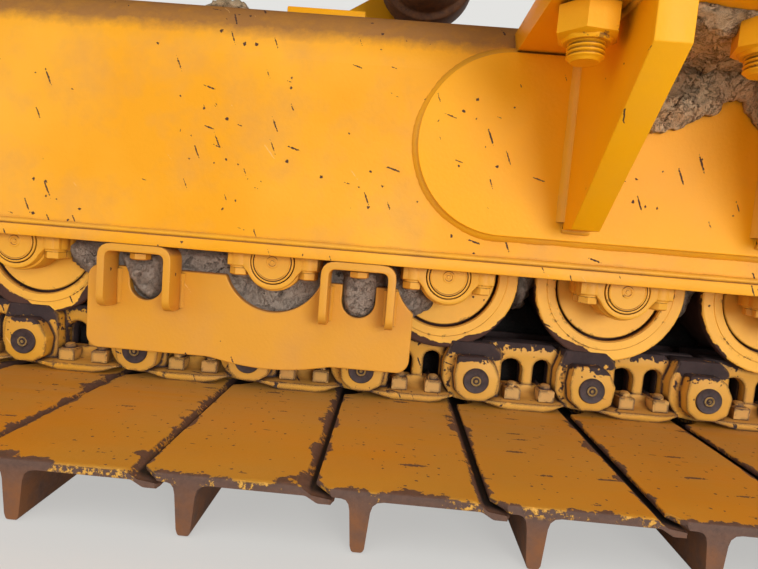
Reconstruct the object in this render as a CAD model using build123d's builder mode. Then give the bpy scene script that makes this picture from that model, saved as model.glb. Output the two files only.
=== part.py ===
"""Left-hand crawler track unit of a pipelayer: roller frame, boom-foot brackets, wheels and track.

X runs along the track towards the rear sprocket, Y points inboard and Z points up. The origin is
on the ground, under the middle of the wheelbase and on the chain's centre plane. Millimetres.
"""

import os
from math import cos, degrees, pi, sin, sqrt

from build123d import *

os.makedirs("parts", exist_ok=True)

# Running and seating clearances
seat_gap = 0.3
running_gap = 0.5

# Chain: link pitch, and the heights of its parts above and below the pins
pitch = 216.0
run_pitches = 17
wrapped_pitches = 6
shoe_seat = 52.0
rail_top = 70.0
rail_inner = 34.0
rail_outer = 80.0
boss_outer = 131.0
rail_start = 54.0
rail_end = 6.0
eye_reach = 36.0
eye_drop = 20.0
boss_top = 46.0
boss_nose = 58.0
boss_nose_drop = 14.0
boss_shoulder = 44.0
boss_heel = 76.0
foot_end = 150.0

# Track shoes: single-grouser plates, each rear lip tucked under the next plate's thinner nose
shoe_width = 1016.0
shoe_plate = 13.0
shoe_nose = 7.0
shoe_lead = 29.0
shoe_lap = 26.0
lap_gap = 2.0
lip_drop = 9.0
lip_thickness = 6.5
lip_bend = 22.0
grouser_height = 67.0
grouser_root = 26.0
grouser_tip = 18.0
grouser_offset = 28.0

# Sprocket: the teeth stand at half the chain's pitch, so every second pocket takes a bushing
sprocket_teeth = 27
sprocket_thickness = 54.0
tooth_tip_depth = 12.0
bushing_radius = 37.0
pocket_gap = 1.0
sprocket_web = 30.0
sprocket_rim = 66.0

# Positions that the chain settles
link_turn = 4 * pi / sprocket_teeth
pin_circle = pitch / 2 / sin(link_turn / 2)
first_angle = (pi - wrapped_pitches * link_turn) / 2
wheelbase = run_pitches * pitch - 2 * pin_circle * sin(first_angle)
pin_height = grouser_height + shoe_plate + shoe_seat
axle_height = pin_height + pin_circle * cos(first_angle)
upper_pin_height = axle_height + pin_circle * cos(first_angle)
wheel_tread = pin_circle * cos(link_turn / 2) - rail_top - seat_gap
sprocket_x = wheelbase / 2
idler_x = -wheelbase / 2

# Bottom rollers: two groups, with a wider gap between them
group_rollers = 4
roller_spacing = 313.0
middle_gap = 465.8
roller_middle = -79.4
roller_tread = 122.7
roller_flange = 141.0
flange_width = 22.0
roller_half = 102.0
rim_bevel = 4.0
rim_recess = 6.0
hub_radius = 101.0
shaft_radius = 38.0
shaft_half = 181.0
shaft_flat = 13.0
roller_height = pin_height + rail_top + roller_tread + seat_gap

# Roller frame: a welded hollow box over a channel that the rollers rise into
strip_end = 1345.0
channel_half = 112.0
channel_gap = 8.0
frame_half = 191.0
frame_depth = 444.0
frame_corner = 110.0
frame_wall = 18.0
bottom_plate = 20.0
bottom_half = 210.0
seam_weld = 9.0
end_plate = 30.0
frame_bottom = roller_height + shaft_flat
frame_top = frame_bottom + frame_depth
channel_top = roller_height + roller_flange + channel_gap

# Saddles that clamp each roller shaft up against the frame's underside
saddle_inner = 108.0
saddle_outer = 178.0
saddle_radius = 49.0
ear_half = 81.0
ear_depth = 28.0

# Boom brackets: doubler plate, shelf and two gussets, welded to the frame's outer side
bracket_offset = 908.4
doubler_rise = 66.0
doubler_height = 302.0
doubler_reach = 287.0
doubler_thickness = 16.0
shelf_drop = 73.0
shelf_thickness = 40.0
gusset_offset = 161.0
gusset_thickness = 46.0
gusset_rise = 85.0
gusset_foot_width = 50.0
gusset_end_depth = 70.0
bracket_reach = 483.0
shelf_bottom = frame_top - shelf_drop
doubler_bottom = frame_bottom + doubler_rise
gusset_foot = frame_bottom + gusset_rise

# Boom feet: bolted to the shelves, each with two lugs for the boom's pin, which clears the shoes' ends
foot_plate = 40.0
foot_inner = 300.0
hinge_gap = 10.0
lug_pin_height = 96.0
lug_radius = 85.0
lug_bore = 50.0
bolt_spacing = 233.0
bolt_radius = 24.5
bolt_hole_gap = 1.5
bolt_flats = 75.0
nut_height = 46.0
head_height = 32.0
bolt_tail = 26.0
lug_pin_y = -shoe_width / 2 - hinge_gap - lug_bore
bolt_y = -(foot_inner + bracket_reach) / 2

# Idler at the front, with its shaft, bearing blocks, yoke and recoil unit
idler_flange = 424.0
idler_flange_half = 29.0
idler_rim_half = 86.0
idler_rim_depth = 46.0
idler_web = 34.0
idler_hub = 120.0
idler_hub_half = 92.0
idler_shaft_radius = 55.0
idler_shaft_half = 212.0
block_half_length = 120.0
block_half_height = 82.0
block_outer = 204.0
guide_thickness = 36.0
guide_height = 70.0
guide_front = -1960.0
yoke_inner = 96.0
yoke_thickness = 34.0
yoke_half_height = 60.0
yoke_head = 80.0
yoke_head_gap = 40.0
wheel_gap = 10.7
rod_radius = 48.0
recoil_length = 820.0
yoke_back = idler_x + idler_flange + wheel_gap + yoke_head
frame_front = yoke_back + yoke_head_gap
frame_rear = sprocket_x - pin_circle + tooth_tip_depth - wheel_gap

# Sprocket hub and the fork that carries it
arm_thickness = 36.0
arm_boss = 172.0
arm_foot = 120.0
hub_flange = 262.0
hub_flange_width = 26.0
hub_drum = 168.0
hub_drum_half = 122.0
hub_journal = 92.0
cap_radius = 146.0
cap_width = 44.0
cap_nose = 92.0
cap_nose_width = 20.0
drive_flange = 190.0
drive_flange_width = 34.0
drive_flange_face = 300.0
drive_bolt_circle = 310.0
drive_bolts = 12
drive_bolt_hole = 11.0

# Diagonal brace to the pivot bearing on the tractor's side
brace_root = 760.0
brace_root_length = 420.0
brace_height = 140.0
brace_rise = 12.0
brace_bearing_outer = 642.0
brace_bearing_width = 96.0
brace_bearing_radius = 215.0
brace_bore = 150.0

# Seat for the equaliser bar on the inner side
seat_x = -560.0
seat_length = 300.0
seat_reach = 150.0
seat_thickness = 60.0
seat_rib = 30.0

# Carrier rollers under the upper run
carrier_places = (-546.0, 387.0)
carrier_tread = 80.0
carrier_flange = 94.0
carrier_half = 92.0
carrier_shaft = 36.0
carrier_bracket_inner = 100.0
carrier_bracket_width = 74.0
carrier_clamp = 62.0
carrier_base_lead = 262.0
carrier_base_length = 150.0
carrier_base_thickness = 26.0
carrier_base_outer = 60.0
carrier_height = upper_pin_height - rail_top - seat_gap - carrier_tread

# Guiding guards beside the chain's lower run
guard_outer = 159.0
guard_plate = 16.0
guard_drop = 43.0
guard_height = 155.0
guard_corner = 24.0
guard_slot_width = 61.0
guard_slot_depth = 59.0
guard_arch = 92.0
guard_bulge_half = 110.0
guard_bulge = 14.0
guard_bulge_blend = 90.0
guard_tail = 100.6
front_guard_lead = 148.7
centre_guard_lead = 108.6
rear_guard_lead = 80.0
rear_guard_tail = 148.0
strap_width = 130.0
strap_height = 114.0
strap_bar = 14.0
strap_reach = 54.0
strap_corner = 26.0
guard_top = frame_bottom - guard_drop
guard_bottom = guard_top - guard_height

# Roller positions, each group numbered outwards from the middle
front_rollers = [
    roller_middle - middle_gap / 2 - roller_spacing * step for step in range(group_rollers)
]
rear_rollers = [
    roller_middle + middle_gap / 2 + roller_spacing * step for step in range(group_rollers)
]
roller_xs = front_rollers + rear_rollers
bracket_xs = (roller_middle - bracket_offset, roller_middle + bracket_offset)


def side_view(y):
    """Side-view plane at this Y; a positive extrude runs outboard, towards -Y."""
    return Plane.XZ.offset(-y)


def end_view(x):
    """End-view plane at this X, drawn in (Y, Z); a positive extrude runs towards +X."""
    return Plane.YZ.offset(x)


def save(piece, label):
    """Label a finished piece and write it under the same name."""
    piece.part.label = label
    export_step(piece.part, f"parts/{label}.step")


# Roller frame
with BuildPart() as track_frame:
    with BuildSketch(end_view(frame_front)):
        with Locations((0, (frame_bottom + frame_top) / 2)):
            Rectangle(2 * frame_half, frame_top - frame_bottom)
    extrude(amount=frame_rear - frame_front)
    fillet(track_frame.edges().filter_by(Axis.X).group_by(Axis.Z)[-1], frame_corner)
    with BuildSketch(end_view(-strip_end)):
        with Locations((0, frame_bottom + bottom_plate / 2)):
            Rectangle(2 * bottom_half, bottom_plate)
    extrude(amount=2 * strip_end)
    seam = track_frame.edges().filter_by(Axis.X).group_by(Axis.Z)[1].sort_by(Axis.Y)
    chamfer([seam[1], seam[-2]], seam_weld)
    with BuildSketch(end_view(-strip_end)):
        with Locations((0, (frame_bottom + channel_top) / 2)):
            Rectangle(2 * channel_half, channel_top - frame_bottom)
    extrude(amount=2 * strip_end, mode=Mode.SUBTRACT)
    with BuildSketch(end_view(frame_front + end_plate)):
        with Locations((0, (frame_bottom + bottom_plate + frame_top - frame_wall) / 2)):
            RectangleRounded(
                2 * (frame_half - frame_wall),
                frame_top - frame_bottom - frame_wall - bottom_plate,
                frame_corner - frame_wall,
            )
        with Locations((0, (frame_bottom + channel_top + frame_wall) / 2)):
            Rectangle(
                2 * (channel_half + frame_wall),
                channel_top + frame_wall - frame_bottom,
                mode=Mode.SUBTRACT,
            )
    extrude(amount=frame_rear - frame_front - 2 * end_plate, mode=Mode.SUBTRACT)
    with BuildSketch(end_view(frame_front)):
        with Locations((0, axle_height)):
            Circle(rod_radius + running_gap)
    extrude(amount=end_plate, mode=Mode.SUBTRACT)
save(track_frame, "track_frame")

# Fork arms that carry the sprocket hub, butted on the frame's rear plate
with BuildPart() as sprocket_arms:
    for face in (arm_thickness - frame_half, frame_half):
        with BuildSketch(side_view(face)):
            with BuildLine():
                Polyline(
                    (frame_rear, frame_bottom + bottom_plate),
                    (frame_rear + arm_foot, frame_bottom + bottom_plate),
                    (sprocket_x, axle_height - arm_boss),
                    (sprocket_x, axle_height + arm_boss),
                    (frame_rear, frame_top - frame_corner / 2),
                    close=True,
                )
            make_face()
            with Locations((sprocket_x, axle_height)):
                Circle(arm_boss)
                Circle(hub_journal + running_gap, mode=Mode.SUBTRACT)
        extrude(amount=arm_thickness)
save(sprocket_arms, "sprocket_arms")

# Guide rails that carry the idler blocks, butted on the frame's front plate
with BuildPart() as idler_guides:
    for face in (guide_thickness - frame_half, frame_half):
        with BuildSketch(side_view(face)):
            with BuildLine():
                rail = axle_height - block_half_height
                Polyline(
                    (frame_front, frame_bottom + bottom_plate),
                    (frame_front, rail),
                    (guide_front, rail),
                    (guide_front, rail - guide_height / 2),
                    (guide_front + guide_height, rail - guide_height),
                    (-strip_end - guide_height, rail - guide_height),
                    (-strip_end, frame_bottom + bottom_plate),
                    close=True,
                )
            make_face()
        extrude(amount=guide_thickness)
save(idler_guides, "idler_guides")

# Boom bracket: doubler plate, shelf that follows the frame's rounded corner, and two gussets
with BuildPart() as boom_bracket:
    with BuildSketch(side_view(-frame_half)):
        with Locations((0, doubler_bottom + doubler_height / 2)):
            SlotCenterToCenter(2 * doubler_reach, doubler_height)
    extrude(amount=doubler_thickness)
    with BuildSketch(end_view(-doubler_reach)):
        with BuildLine():
            corner_y = frame_corner - frame_half
            corner_z = frame_top - frame_corner
            low = shelf_bottom - corner_z
            high = shelf_bottom + shelf_thickness - corner_z
            low_y = corner_y - sqrt(frame_corner**2 - low**2)
            high_y = corner_y - sqrt(frame_corner**2 - high**2)
            Polyline(
                (low_y, shelf_bottom),
                (-bracket_reach, shelf_bottom),
                (-bracket_reach, shelf_bottom + shelf_thickness),
                (high_y, shelf_bottom + shelf_thickness),
            )
            RadiusArc(
                (high_y, shelf_bottom + shelf_thickness),
                (low_y, shelf_bottom),
                -frame_corner,
            )
        make_face()
    extrude(amount=2 * doubler_reach)
    for side in (-1, 1):
        with BuildSketch(end_view(side * gusset_offset - gusset_thickness / 2)):
            with BuildLine():
                face = -frame_half - doubler_thickness
                Polyline(
                    (face, gusset_foot),
                    (face - gusset_foot_width, gusset_foot),
                    (-bracket_reach, shelf_bottom - gusset_end_depth),
                    (-bracket_reach, shelf_bottom),
                    (face, shelf_bottom),
                    close=True,
                )
            make_face()
        extrude(amount=gusset_thickness)
    with Locations((0, bolt_y, shelf_bottom + shelf_thickness)):
        with Locations((-bolt_spacing, 0), (0, 0), (bolt_spacing, 0)):
            Hole(bolt_radius + bolt_hole_gap, depth=shelf_thickness)
for name, x in zip(("boom_bracket_front", "boom_bracket_rear"), bracket_xs):
    with BuildPart() as placed:
        with Locations((x, 0, 0)):
            add(boom_bracket.part)
    save(placed, name)

# Boom foot: base plate with two round-ended lugs in line with the gussets below
foot_bottom = shelf_bottom + shelf_thickness
with BuildPart() as boom_foot:
    with BuildSketch(Plane.XY.offset(foot_bottom)):
        with Locations((0, -(foot_inner + bracket_reach) / 2)):
            Rectangle(2 * doubler_reach, bracket_reach - foot_inner)
    extrude(amount=foot_plate)
    for side in (-1, 1):
        with BuildSketch(end_view(side * gusset_offset - gusset_thickness / 2)):
            with BuildLine():
                pin_z = foot_bottom + lug_pin_height
                Polyline(
                    (-foot_inner, foot_bottom),
                    (-bracket_reach, foot_bottom),
                    (lug_pin_y, pin_z - lug_radius),
                    (lug_pin_y, pin_z + lug_radius),
                    (-foot_inner, foot_bottom + foot_plate),
                    close=True,
                )
            make_face()
            with Locations((lug_pin_y, pin_z)):
                Circle(lug_radius)
                Circle(lug_bore, mode=Mode.SUBTRACT)
        extrude(amount=gusset_thickness)
    with Locations((0, bolt_y, foot_bottom + foot_plate)):
        with Locations((-bolt_spacing, 0), (0, 0), (bolt_spacing, 0)):
            Hole(bolt_radius + bolt_hole_gap, depth=foot_plate)
for name, x in zip(("boom_foot_front", "boom_foot_rear"), bracket_xs):
    with BuildPart() as placed:
        with Locations((x, 0, 0)):
            add(boom_foot.part)
    save(placed, name)

# Foot bolts: hexagon head above the foot, nut and threaded tail under the shelf
with BuildPart() as foot_bolt:
    with BuildSketch(Plane.XY.offset(shelf_bottom - nut_height)):
        RegularPolygon(bolt_flats / 2, 6, major_radius=False)
    extrude(amount=nut_height)
    with BuildSketch(Plane.XY.offset(shelf_bottom - nut_height - bolt_tail)):
        Circle(bolt_radius)
    extrude(amount=nut_height + bolt_tail + shelf_thickness + foot_plate)
    with BuildSketch(Plane.XY.offset(foot_bottom + foot_plate)):
        RegularPolygon(bolt_flats / 2, 6, major_radius=False)
    extrude(amount=head_height)
with BuildPart() as boom_foot_bolts:
    for x in bracket_xs:
        for step in (-bolt_spacing, 0, bolt_spacing):
            with Locations((x + step, bolt_y, 0)):
                add(foot_bolt.part)
save(boom_foot_bolts, "boom_foot_bolts")

# Bottom rollers: double-flanged, with a recessed hub in each face
with BuildPart() as roller:
    with BuildSketch(Plane.XY):
        with BuildLine():
            Polyline(
                (shaft_radius + seat_gap, 0),
                (shaft_radius + seat_gap, roller_half - rim_recess),
                (hub_radius, roller_half - rim_recess),
                (hub_radius, roller_half),
                (roller_flange - rim_bevel, roller_half),
                (roller_flange, roller_half - rim_bevel),
                (roller_flange, roller_half - flange_width + rim_bevel),
                (roller_tread, rail_outer + running_gap),
                (roller_tread, 0),
            )
            mirror(about=Plane.XZ)
        make_face()
    revolve(axis=Axis.Y)
with BuildPart() as bottom_rollers:
    with Locations([(x, 0, roller_height) for x in roller_xs]):
        add(roller.part)
save(bottom_rollers, "bottom_rollers")

# Roller shafts: round, with a flat at each end that seats on the frame's underside
with BuildPart() as shaft:
    with BuildSketch(side_view(shaft_half)):
        Circle(shaft_radius)
    extrude(amount=2 * shaft_half)
    for face in (shaft_half, -roller_half):
        with BuildSketch(side_view(face)):
            with Locations((0, frame_bottom - roller_height)):
                Rectangle(
                    2 * shaft_radius,
                    shaft_radius,
                    align=(Align.CENTER, Align.MIN),
                )
        extrude(amount=shaft_half - roller_half, mode=Mode.SUBTRACT)
with BuildPart() as roller_shafts:
    with Locations([(x, 0, roller_height) for x in roller_xs]):
        add(shaft.part)
save(roller_shafts, "roller_shafts")

# Saddles: a half collar under each shaft end, with an ear each side for its bolts
with BuildPart() as saddle_pair:
    for face in (saddle_outer, -saddle_inner):
        with BuildSketch(side_view(face)):
            seat = frame_bottom - roller_height
            with Locations((0, seat)):
                Rectangle(2 * ear_half, ear_depth, align=(Align.CENTER, Align.MAX))
            Circle(saddle_radius)
            with Locations((0, seat)):
                Rectangle(
                    2 * saddle_radius,
                    saddle_radius,
                    align=(Align.CENTER, Align.MIN),
                    mode=Mode.SUBTRACT,
                )
            Circle(shaft_radius + seat_gap, mode=Mode.SUBTRACT)
        extrude(amount=saddle_outer - saddle_inner)
with BuildPart() as roller_saddles:
    with Locations([(x, 0, roller_height) for x in roller_xs]):
        add(saddle_pair.part)
save(roller_saddles, "roller_saddles")

# Idler: a plain wheel with a centre flange that runs between the links
idler_plane = Plane.XY.offset(axle_height).move(Location((idler_x, 0, 0)))
idler_axis = Axis((idler_x, 0, axle_height), (0, 1, 0))
with BuildPart() as idler:
    with BuildSketch(idler_plane):
        with BuildLine():
            Polyline(
                (idler_shaft_radius + seat_gap, 0),
                (idler_shaft_radius + seat_gap, idler_hub_half),
                (idler_hub, idler_hub_half),
                (idler_hub, idler_web),
                (wheel_tread - idler_rim_depth, idler_web),
                (wheel_tread - idler_rim_depth, idler_rim_half),
                (wheel_tread, idler_rim_half),
                (wheel_tread, idler_flange_half),
                (idler_flange, idler_flange_half - rim_bevel),
                (idler_flange, 0),
            )
            mirror(about=Plane.XZ)
        make_face()
    revolve(axis=idler_axis)
save(idler, "idler")

with BuildPart() as idler_shaft:
    with BuildSketch(side_view(idler_shaft_half)):
        with Locations((idler_x, axle_height)):
            Circle(idler_shaft_radius)
    extrude(amount=2 * idler_shaft_half)
save(idler_shaft, "idler_shaft")

# Idler blocks: they slide on the guide rails and hold the shaft's ends
block_inner = yoke_inner + yoke_thickness + seat_gap
with BuildPart() as idler_blocks:
    for face in (-block_inner, block_outer):
        with BuildSketch(side_view(face)):
            with Locations((idler_x, axle_height)):
                Rectangle(2 * block_half_length, 2 * block_half_height)
                Circle(idler_shaft_radius + seat_gap, mode=Mode.SUBTRACT)
        extrude(amount=block_outer - block_inner)
save(idler_blocks, "idler_blocks")

# Idler yoke: two cheeks beside the wheel, joined by a head that the recoil rod pushes
with BuildPart() as idler_yoke:
    for face in (yoke_inner + yoke_thickness, -yoke_inner):
        with BuildSketch(side_view(face)):
            with BuildLine():
                Polyline(
                    (idler_x, axle_height - block_half_height),
                    (yoke_back, axle_height - yoke_half_height),
                    (yoke_back, axle_height + yoke_half_height),
                    (idler_x, axle_height + block_half_height),
                    close=True,
                )
            make_face()
            with Locations((idler_x, axle_height)):
                Circle(block_half_height)
                Circle(idler_shaft_radius + seat_gap, mode=Mode.SUBTRACT)
        extrude(amount=yoke_thickness)
    with BuildSketch(end_view(yoke_back - yoke_head)):
        with Locations((0, axle_height)):
            Rectangle(2 * (yoke_inner + yoke_thickness), 2 * yoke_half_height)
    extrude(amount=yoke_head)
save(idler_yoke, "idler_yoke")

# Recoil unit: rod through the front plate and the spring pack behind it
with BuildPart() as recoil_unit:
    with BuildSketch(end_view(yoke_back)):
        with Locations((0, axle_height)):
            Circle(rod_radius)
    extrude(amount=yoke_head_gap + end_plate)
    with BuildSketch(end_view(frame_front + end_plate)):
        with Locations((0, axle_height)):
            Circle(axle_height - channel_top - frame_wall - seat_gap)
    extrude(amount=recoil_length)
save(recoil_unit, "recoil_unit")

# Sprocket: a toothed ring whose pockets lie on the chain's pin circle
sprocket_plane = Plane.XY.offset(axle_height).move(Location((sprocket_x, 0, 0)))
sprocket_axis = Axis((sprocket_x, 0, axle_height), (0, 1, 0))
with BuildPart() as sprocket:
    with BuildSketch(side_view(sprocket_thickness / 2)):
        with Locations((sprocket_x, axle_height)):
            Circle(pin_circle - tooth_tip_depth)
            with PolarLocations(
                pin_circle,
                sprocket_teeth,
                start_angle=degrees(first_angle) - 90,
                rotate=False,
            ):
                Circle(bushing_radius + pocket_gap, mode=Mode.SUBTRACT)
            Circle(hub_drum + seat_gap, mode=Mode.SUBTRACT)
    extrude(amount=sprocket_thickness)
    rim_radius = pin_circle - bushing_radius - pocket_gap - sprocket_rim
    for face in (sprocket_thickness / 2, -sprocket_web / 2):
        with BuildSketch(side_view(face)):
            with Locations((sprocket_x, axle_height)):
                Circle(rim_radius)
                Circle(hub_flange, mode=Mode.SUBTRACT)
        extrude(amount=(sprocket_thickness - sprocket_web) / 2, mode=Mode.SUBTRACT)
save(sprocket, "sprocket")

# Sprocket hub: drum and flange that carry the sprocket, journals, and the drive flange inboard
flange_face = -sprocket_thickness / 2
with BuildPart() as sprocket_hub:
    with BuildSketch(sprocket_plane):
        with BuildLine():
            Polyline(
                (0, -frame_half),
                (hub_journal, -frame_half),
                (hub_journal, -hub_drum_half),
                (hub_drum, -hub_drum_half),
                (hub_drum, flange_face - hub_flange_width),
                (hub_flange, flange_face - hub_flange_width),
                (hub_flange, flange_face),
                (hub_drum, flange_face),
                (hub_drum, hub_drum_half),
                (hub_journal, hub_drum_half),
                (hub_journal, drive_flange_face - drive_flange_width),
                (drive_flange, drive_flange_face - drive_flange_width),
                (drive_flange, drive_flange_face),
                (0, drive_flange_face),
                close=True,
            )
        make_face()
    revolve(axis=sprocket_axis)
    with BuildSketch(side_view(drive_flange_face)):
        with Locations((sprocket_x, axle_height)):
            with PolarLocations(drive_bolt_circle / 2, drive_bolts):
                Circle(drive_bolt_hole)
    extrude(amount=drive_flange_width, mode=Mode.SUBTRACT)
save(sprocket_hub, "sprocket_hub")

# Bearing cap on the outer fork arm
with BuildPart() as bearing_cap:
    with BuildSketch(sprocket_plane):
        with BuildLine():
            face = -frame_half - seat_gap
            Polyline(
                (0, face),
                (cap_radius, face),
                (cap_radius, face - cap_width / 2),
                (cap_nose, face - cap_width),
                (cap_nose, face - cap_width - cap_nose_width),
                (0, face - cap_width - cap_nose_width),
                close=True,
            )
        make_face()
    revolve(axis=sprocket_axis)
save(bearing_cap, "bearing_cap")

# Diagonal brace from the frame's inner side back to the pivot bearing
with BuildPart() as pivot_brace:
    bearing_inner = brace_bearing_outer - brace_bearing_width
    low = frame_bottom + bottom_plate + brace_rise
    with BuildSketch(Plane.XY.offset(low)):
        with BuildLine():
            Polyline(
                (brace_root, frame_half),
                (brace_root + brace_root_length, frame_half),
                (sprocket_x, bearing_inner),
                (sprocket_x, brace_bearing_outer),
                (sprocket_x - brace_bearing_radius, brace_bearing_outer),
                close=True,
            )
        make_face()
    extrude(amount=brace_height)
    with BuildSketch(side_view(brace_bearing_outer)):
        with Locations((sprocket_x, axle_height)):
            Circle(brace_bearing_radius)
    extrude(amount=brace_bearing_width)
    with BuildSketch(side_view(brace_bearing_outer)):
        with Locations((sprocket_x, axle_height)):
            Circle(brace_bore)
    extrude(amount=brace_bearing_width, mode=Mode.SUBTRACT)
save(pivot_brace, "pivot_brace")

# Equaliser seat: a ribbed pad on the frame's inner side
with BuildPart() as equaliser_seat:
    pad_bottom = frame_top - frame_corner - seat_thickness
    with BuildSketch(Plane.XY.offset(pad_bottom)):
        with Locations((seat_x, frame_half + seat_reach / 2)):
            Rectangle(seat_length, seat_reach)
    extrude(amount=seat_thickness)
    for step in (-1, 0, 1):
        rib_middle = seat_x + step * (seat_length - seat_rib) / 2
        with BuildSketch(end_view(rib_middle - seat_rib / 2)):
            with BuildLine():
                Polyline(
                    (frame_half, pad_bottom - seat_reach),
                    (frame_half + seat_reach, pad_bottom),
                    (frame_half, pad_bottom),
                    close=True,
                )
            make_face()
        extrude(amount=seat_rib)
save(equaliser_seat, "equaliser_seat")

# Carrier rollers on cantilever shafts, each clamped in a bracket on the frame's inner top edge
with BuildPart() as carrier:
    with BuildSketch(Plane.XY):
        with BuildLine():
            Polyline(
                (carrier_shaft + seat_gap, 0),
                (carrier_shaft + seat_gap, carrier_half),
                (carrier_tread, carrier_half),
                (carrier_tread, rail_inner - running_gap),
                (carrier_flange, rail_inner - running_gap - rim_bevel),
                (carrier_flange, 0),
            )
            mirror(about=Plane.XZ)
        make_face()
    revolve(axis=Axis.Y)
with BuildPart() as carrier_rollers:
    with Locations([(x, 0, carrier_height) for x in carrier_places]):
        add(carrier.part)
save(carrier_rollers, "carrier_rollers")

with BuildPart() as carrier_shafts:
    shaft_inner = carrier_bracket_inner + carrier_bracket_width
    for x in carrier_places:
        with BuildSketch(side_view(shaft_inner)):
            with Locations((x, carrier_height)):
                Circle(carrier_shaft)
        extrude(amount=shaft_inner + carrier_half)
save(carrier_shafts, "carrier_shafts")

with BuildPart() as carrier_brackets:
    for x in carrier_places:
        base = x - carrier_base_lead
        with BuildSketch(Plane.XY.offset(frame_top)):
            with Locations((base, -carrier_base_outer)):
                Rectangle(
                    carrier_base_length,
                    carrier_base_outer + shaft_inner,
                    align=(Align.MIN, Align.MIN),
                )
        extrude(amount=carrier_base_thickness)
        with BuildSketch(side_view(shaft_inner)):
            with BuildLine():
                Polyline(
                    (base, frame_top),
                    (base + carrier_base_length, frame_top),
                    (x + carrier_clamp / 2, carrier_height - carrier_clamp / 2),
                    (x, carrier_height + carrier_clamp),
                    (base, frame_top + carrier_base_thickness),
                    close=True,
                )
            make_face()
            with Locations((x, carrier_height)):
                Circle(carrier_clamp)
                Circle(carrier_shaft + seat_gap, mode=Mode.SUBTRACT)
        extrude(amount=carrier_bracket_width)
save(carrier_brackets, "carrier_brackets")

# Guards: name, strap positions, front and rear ends, rollers that show through
def midway(first, second):
    """Position midway between two bottom rollers."""
    return (first + second) / 2


front_inner, front_second, front_third, front_outer = front_rollers
rear_inner, rear_second, rear_third, rear_outer = rear_rollers
front_straps = (midway(front_third, front_outer), midway(front_second, front_third))
centre_straps = (roller_middle, midway(rear_inner, rear_second))
rear_strap = rear_outer + roller_spacing / 2
guard_rows = (
    (
        "front_guard",
        front_straps,
        front_outer - front_guard_lead,
        front_straps[-1] + guard_tail,
        (front_outer, front_third),
    ),
    (
        "centre_guard",
        centre_straps,
        roller_middle - centre_guard_lead,
        centre_straps[-1] + guard_tail,
        (rear_inner, rear_second),
    ),
    (
        "rear_guard",
        (rear_strap,),
        rear_strap - rear_guard_lead,
        rear_strap + rear_guard_tail,
        (),
    ),
)
strap_xs = []
for name, straps, start, stop, arched in guard_rows:
    strap_xs += straps
    slot_radius = guard_slot_width / 2
    bulges = [
        x for x in arched if start < x - guard_bulge_half and x + guard_bulge_half < stop
    ]
    with BuildPart() as guard:
        with BuildSketch(side_view(guard_plate - guard_outer)) as outline:
            with BuildLine():
                reached = (start, guard_bottom)
                for x in bulges:
                    Line(reached, (x - guard_bulge_half, guard_bottom))
                    reached = (x + guard_bulge_half, guard_bottom)
                    ThreePointArc(
                        (x - guard_bulge_half, guard_bottom),
                        (x, guard_bottom - guard_bulge),
                        reached,
                    )
                Polyline(
                    reached,
                    (stop, guard_bottom),
                    (stop, guard_top),
                    (start, guard_top),
                    (start, guard_bottom),
                )
            make_face()
            if bulges:
                low = outline.vertices().group_by(Axis.Y)[0].sort_by(Axis.X)
                fillet(low[1:-1], guard_bulge_blend)
            low = outline.vertices().filter_by_position(
                Axis.Y, guard_bottom - seat_gap, guard_bottom + seat_gap
            )
            high = outline.vertices().group_by(Axis.Y)[-1]
            ends = low.sort_by(Axis.X)
            fillet([ends[0], ends[-1], *high], guard_corner)
            for x in arched:
                with Locations((x, roller_height)):
                    Circle(guard_arch, mode=Mode.SUBTRACT)
            for x in straps:
                with Locations((x, guard_top)):
                    Rectangle(
                        guard_slot_width,
                        guard_slot_depth - slot_radius,
                        align=(Align.CENTER, Align.MAX),
                        mode=Mode.SUBTRACT,
                    )
                with Locations((x, guard_top - guard_slot_depth + slot_radius)):
                    Circle(slot_radius, mode=Mode.SUBTRACT)
        extrude(amount=guard_plate)
    save(guard, f"{name}_outer")
    with BuildPart() as inner_guard:
        add(mirror(guard.part, about=Plane.XZ))
    save(inner_guard, f"{name}_inner")

# Straps: inverted U bars that hang the guards from the frame's bottom plate
with BuildPart() as strap:
    with BuildSketch(side_view(strap_reach / 2)) as outside:
        Rectangle(strap_width, strap_height, align=(Align.CENTER, Align.MAX))
        fillet(outside.vertices().group_by(Axis.Y)[-1], strap_corner)
    extrude(amount=strap_reach)
    with BuildSketch(side_view(strap_reach / 2)) as inside:
        with Locations((0, -strap_bar)):
            Rectangle(
                strap_width - 2 * strap_bar,
                strap_height,
                align=(Align.CENTER, Align.MAX),
            )
        fillet(inside.vertices().group_by(Axis.Y)[-1], strap_corner - strap_bar)
    extrude(amount=strap_reach, mode=Mode.SUBTRACT)
with BuildPart() as guard_straps:
    for side in (-1, 1):
        strap_y = side * (guard_outer + strap_reach / 2)
        with Locations([(x, strap_y, frame_bottom) for x in strap_xs]):
            add(strap.part)
save(guard_straps, "guard_straps")

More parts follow.
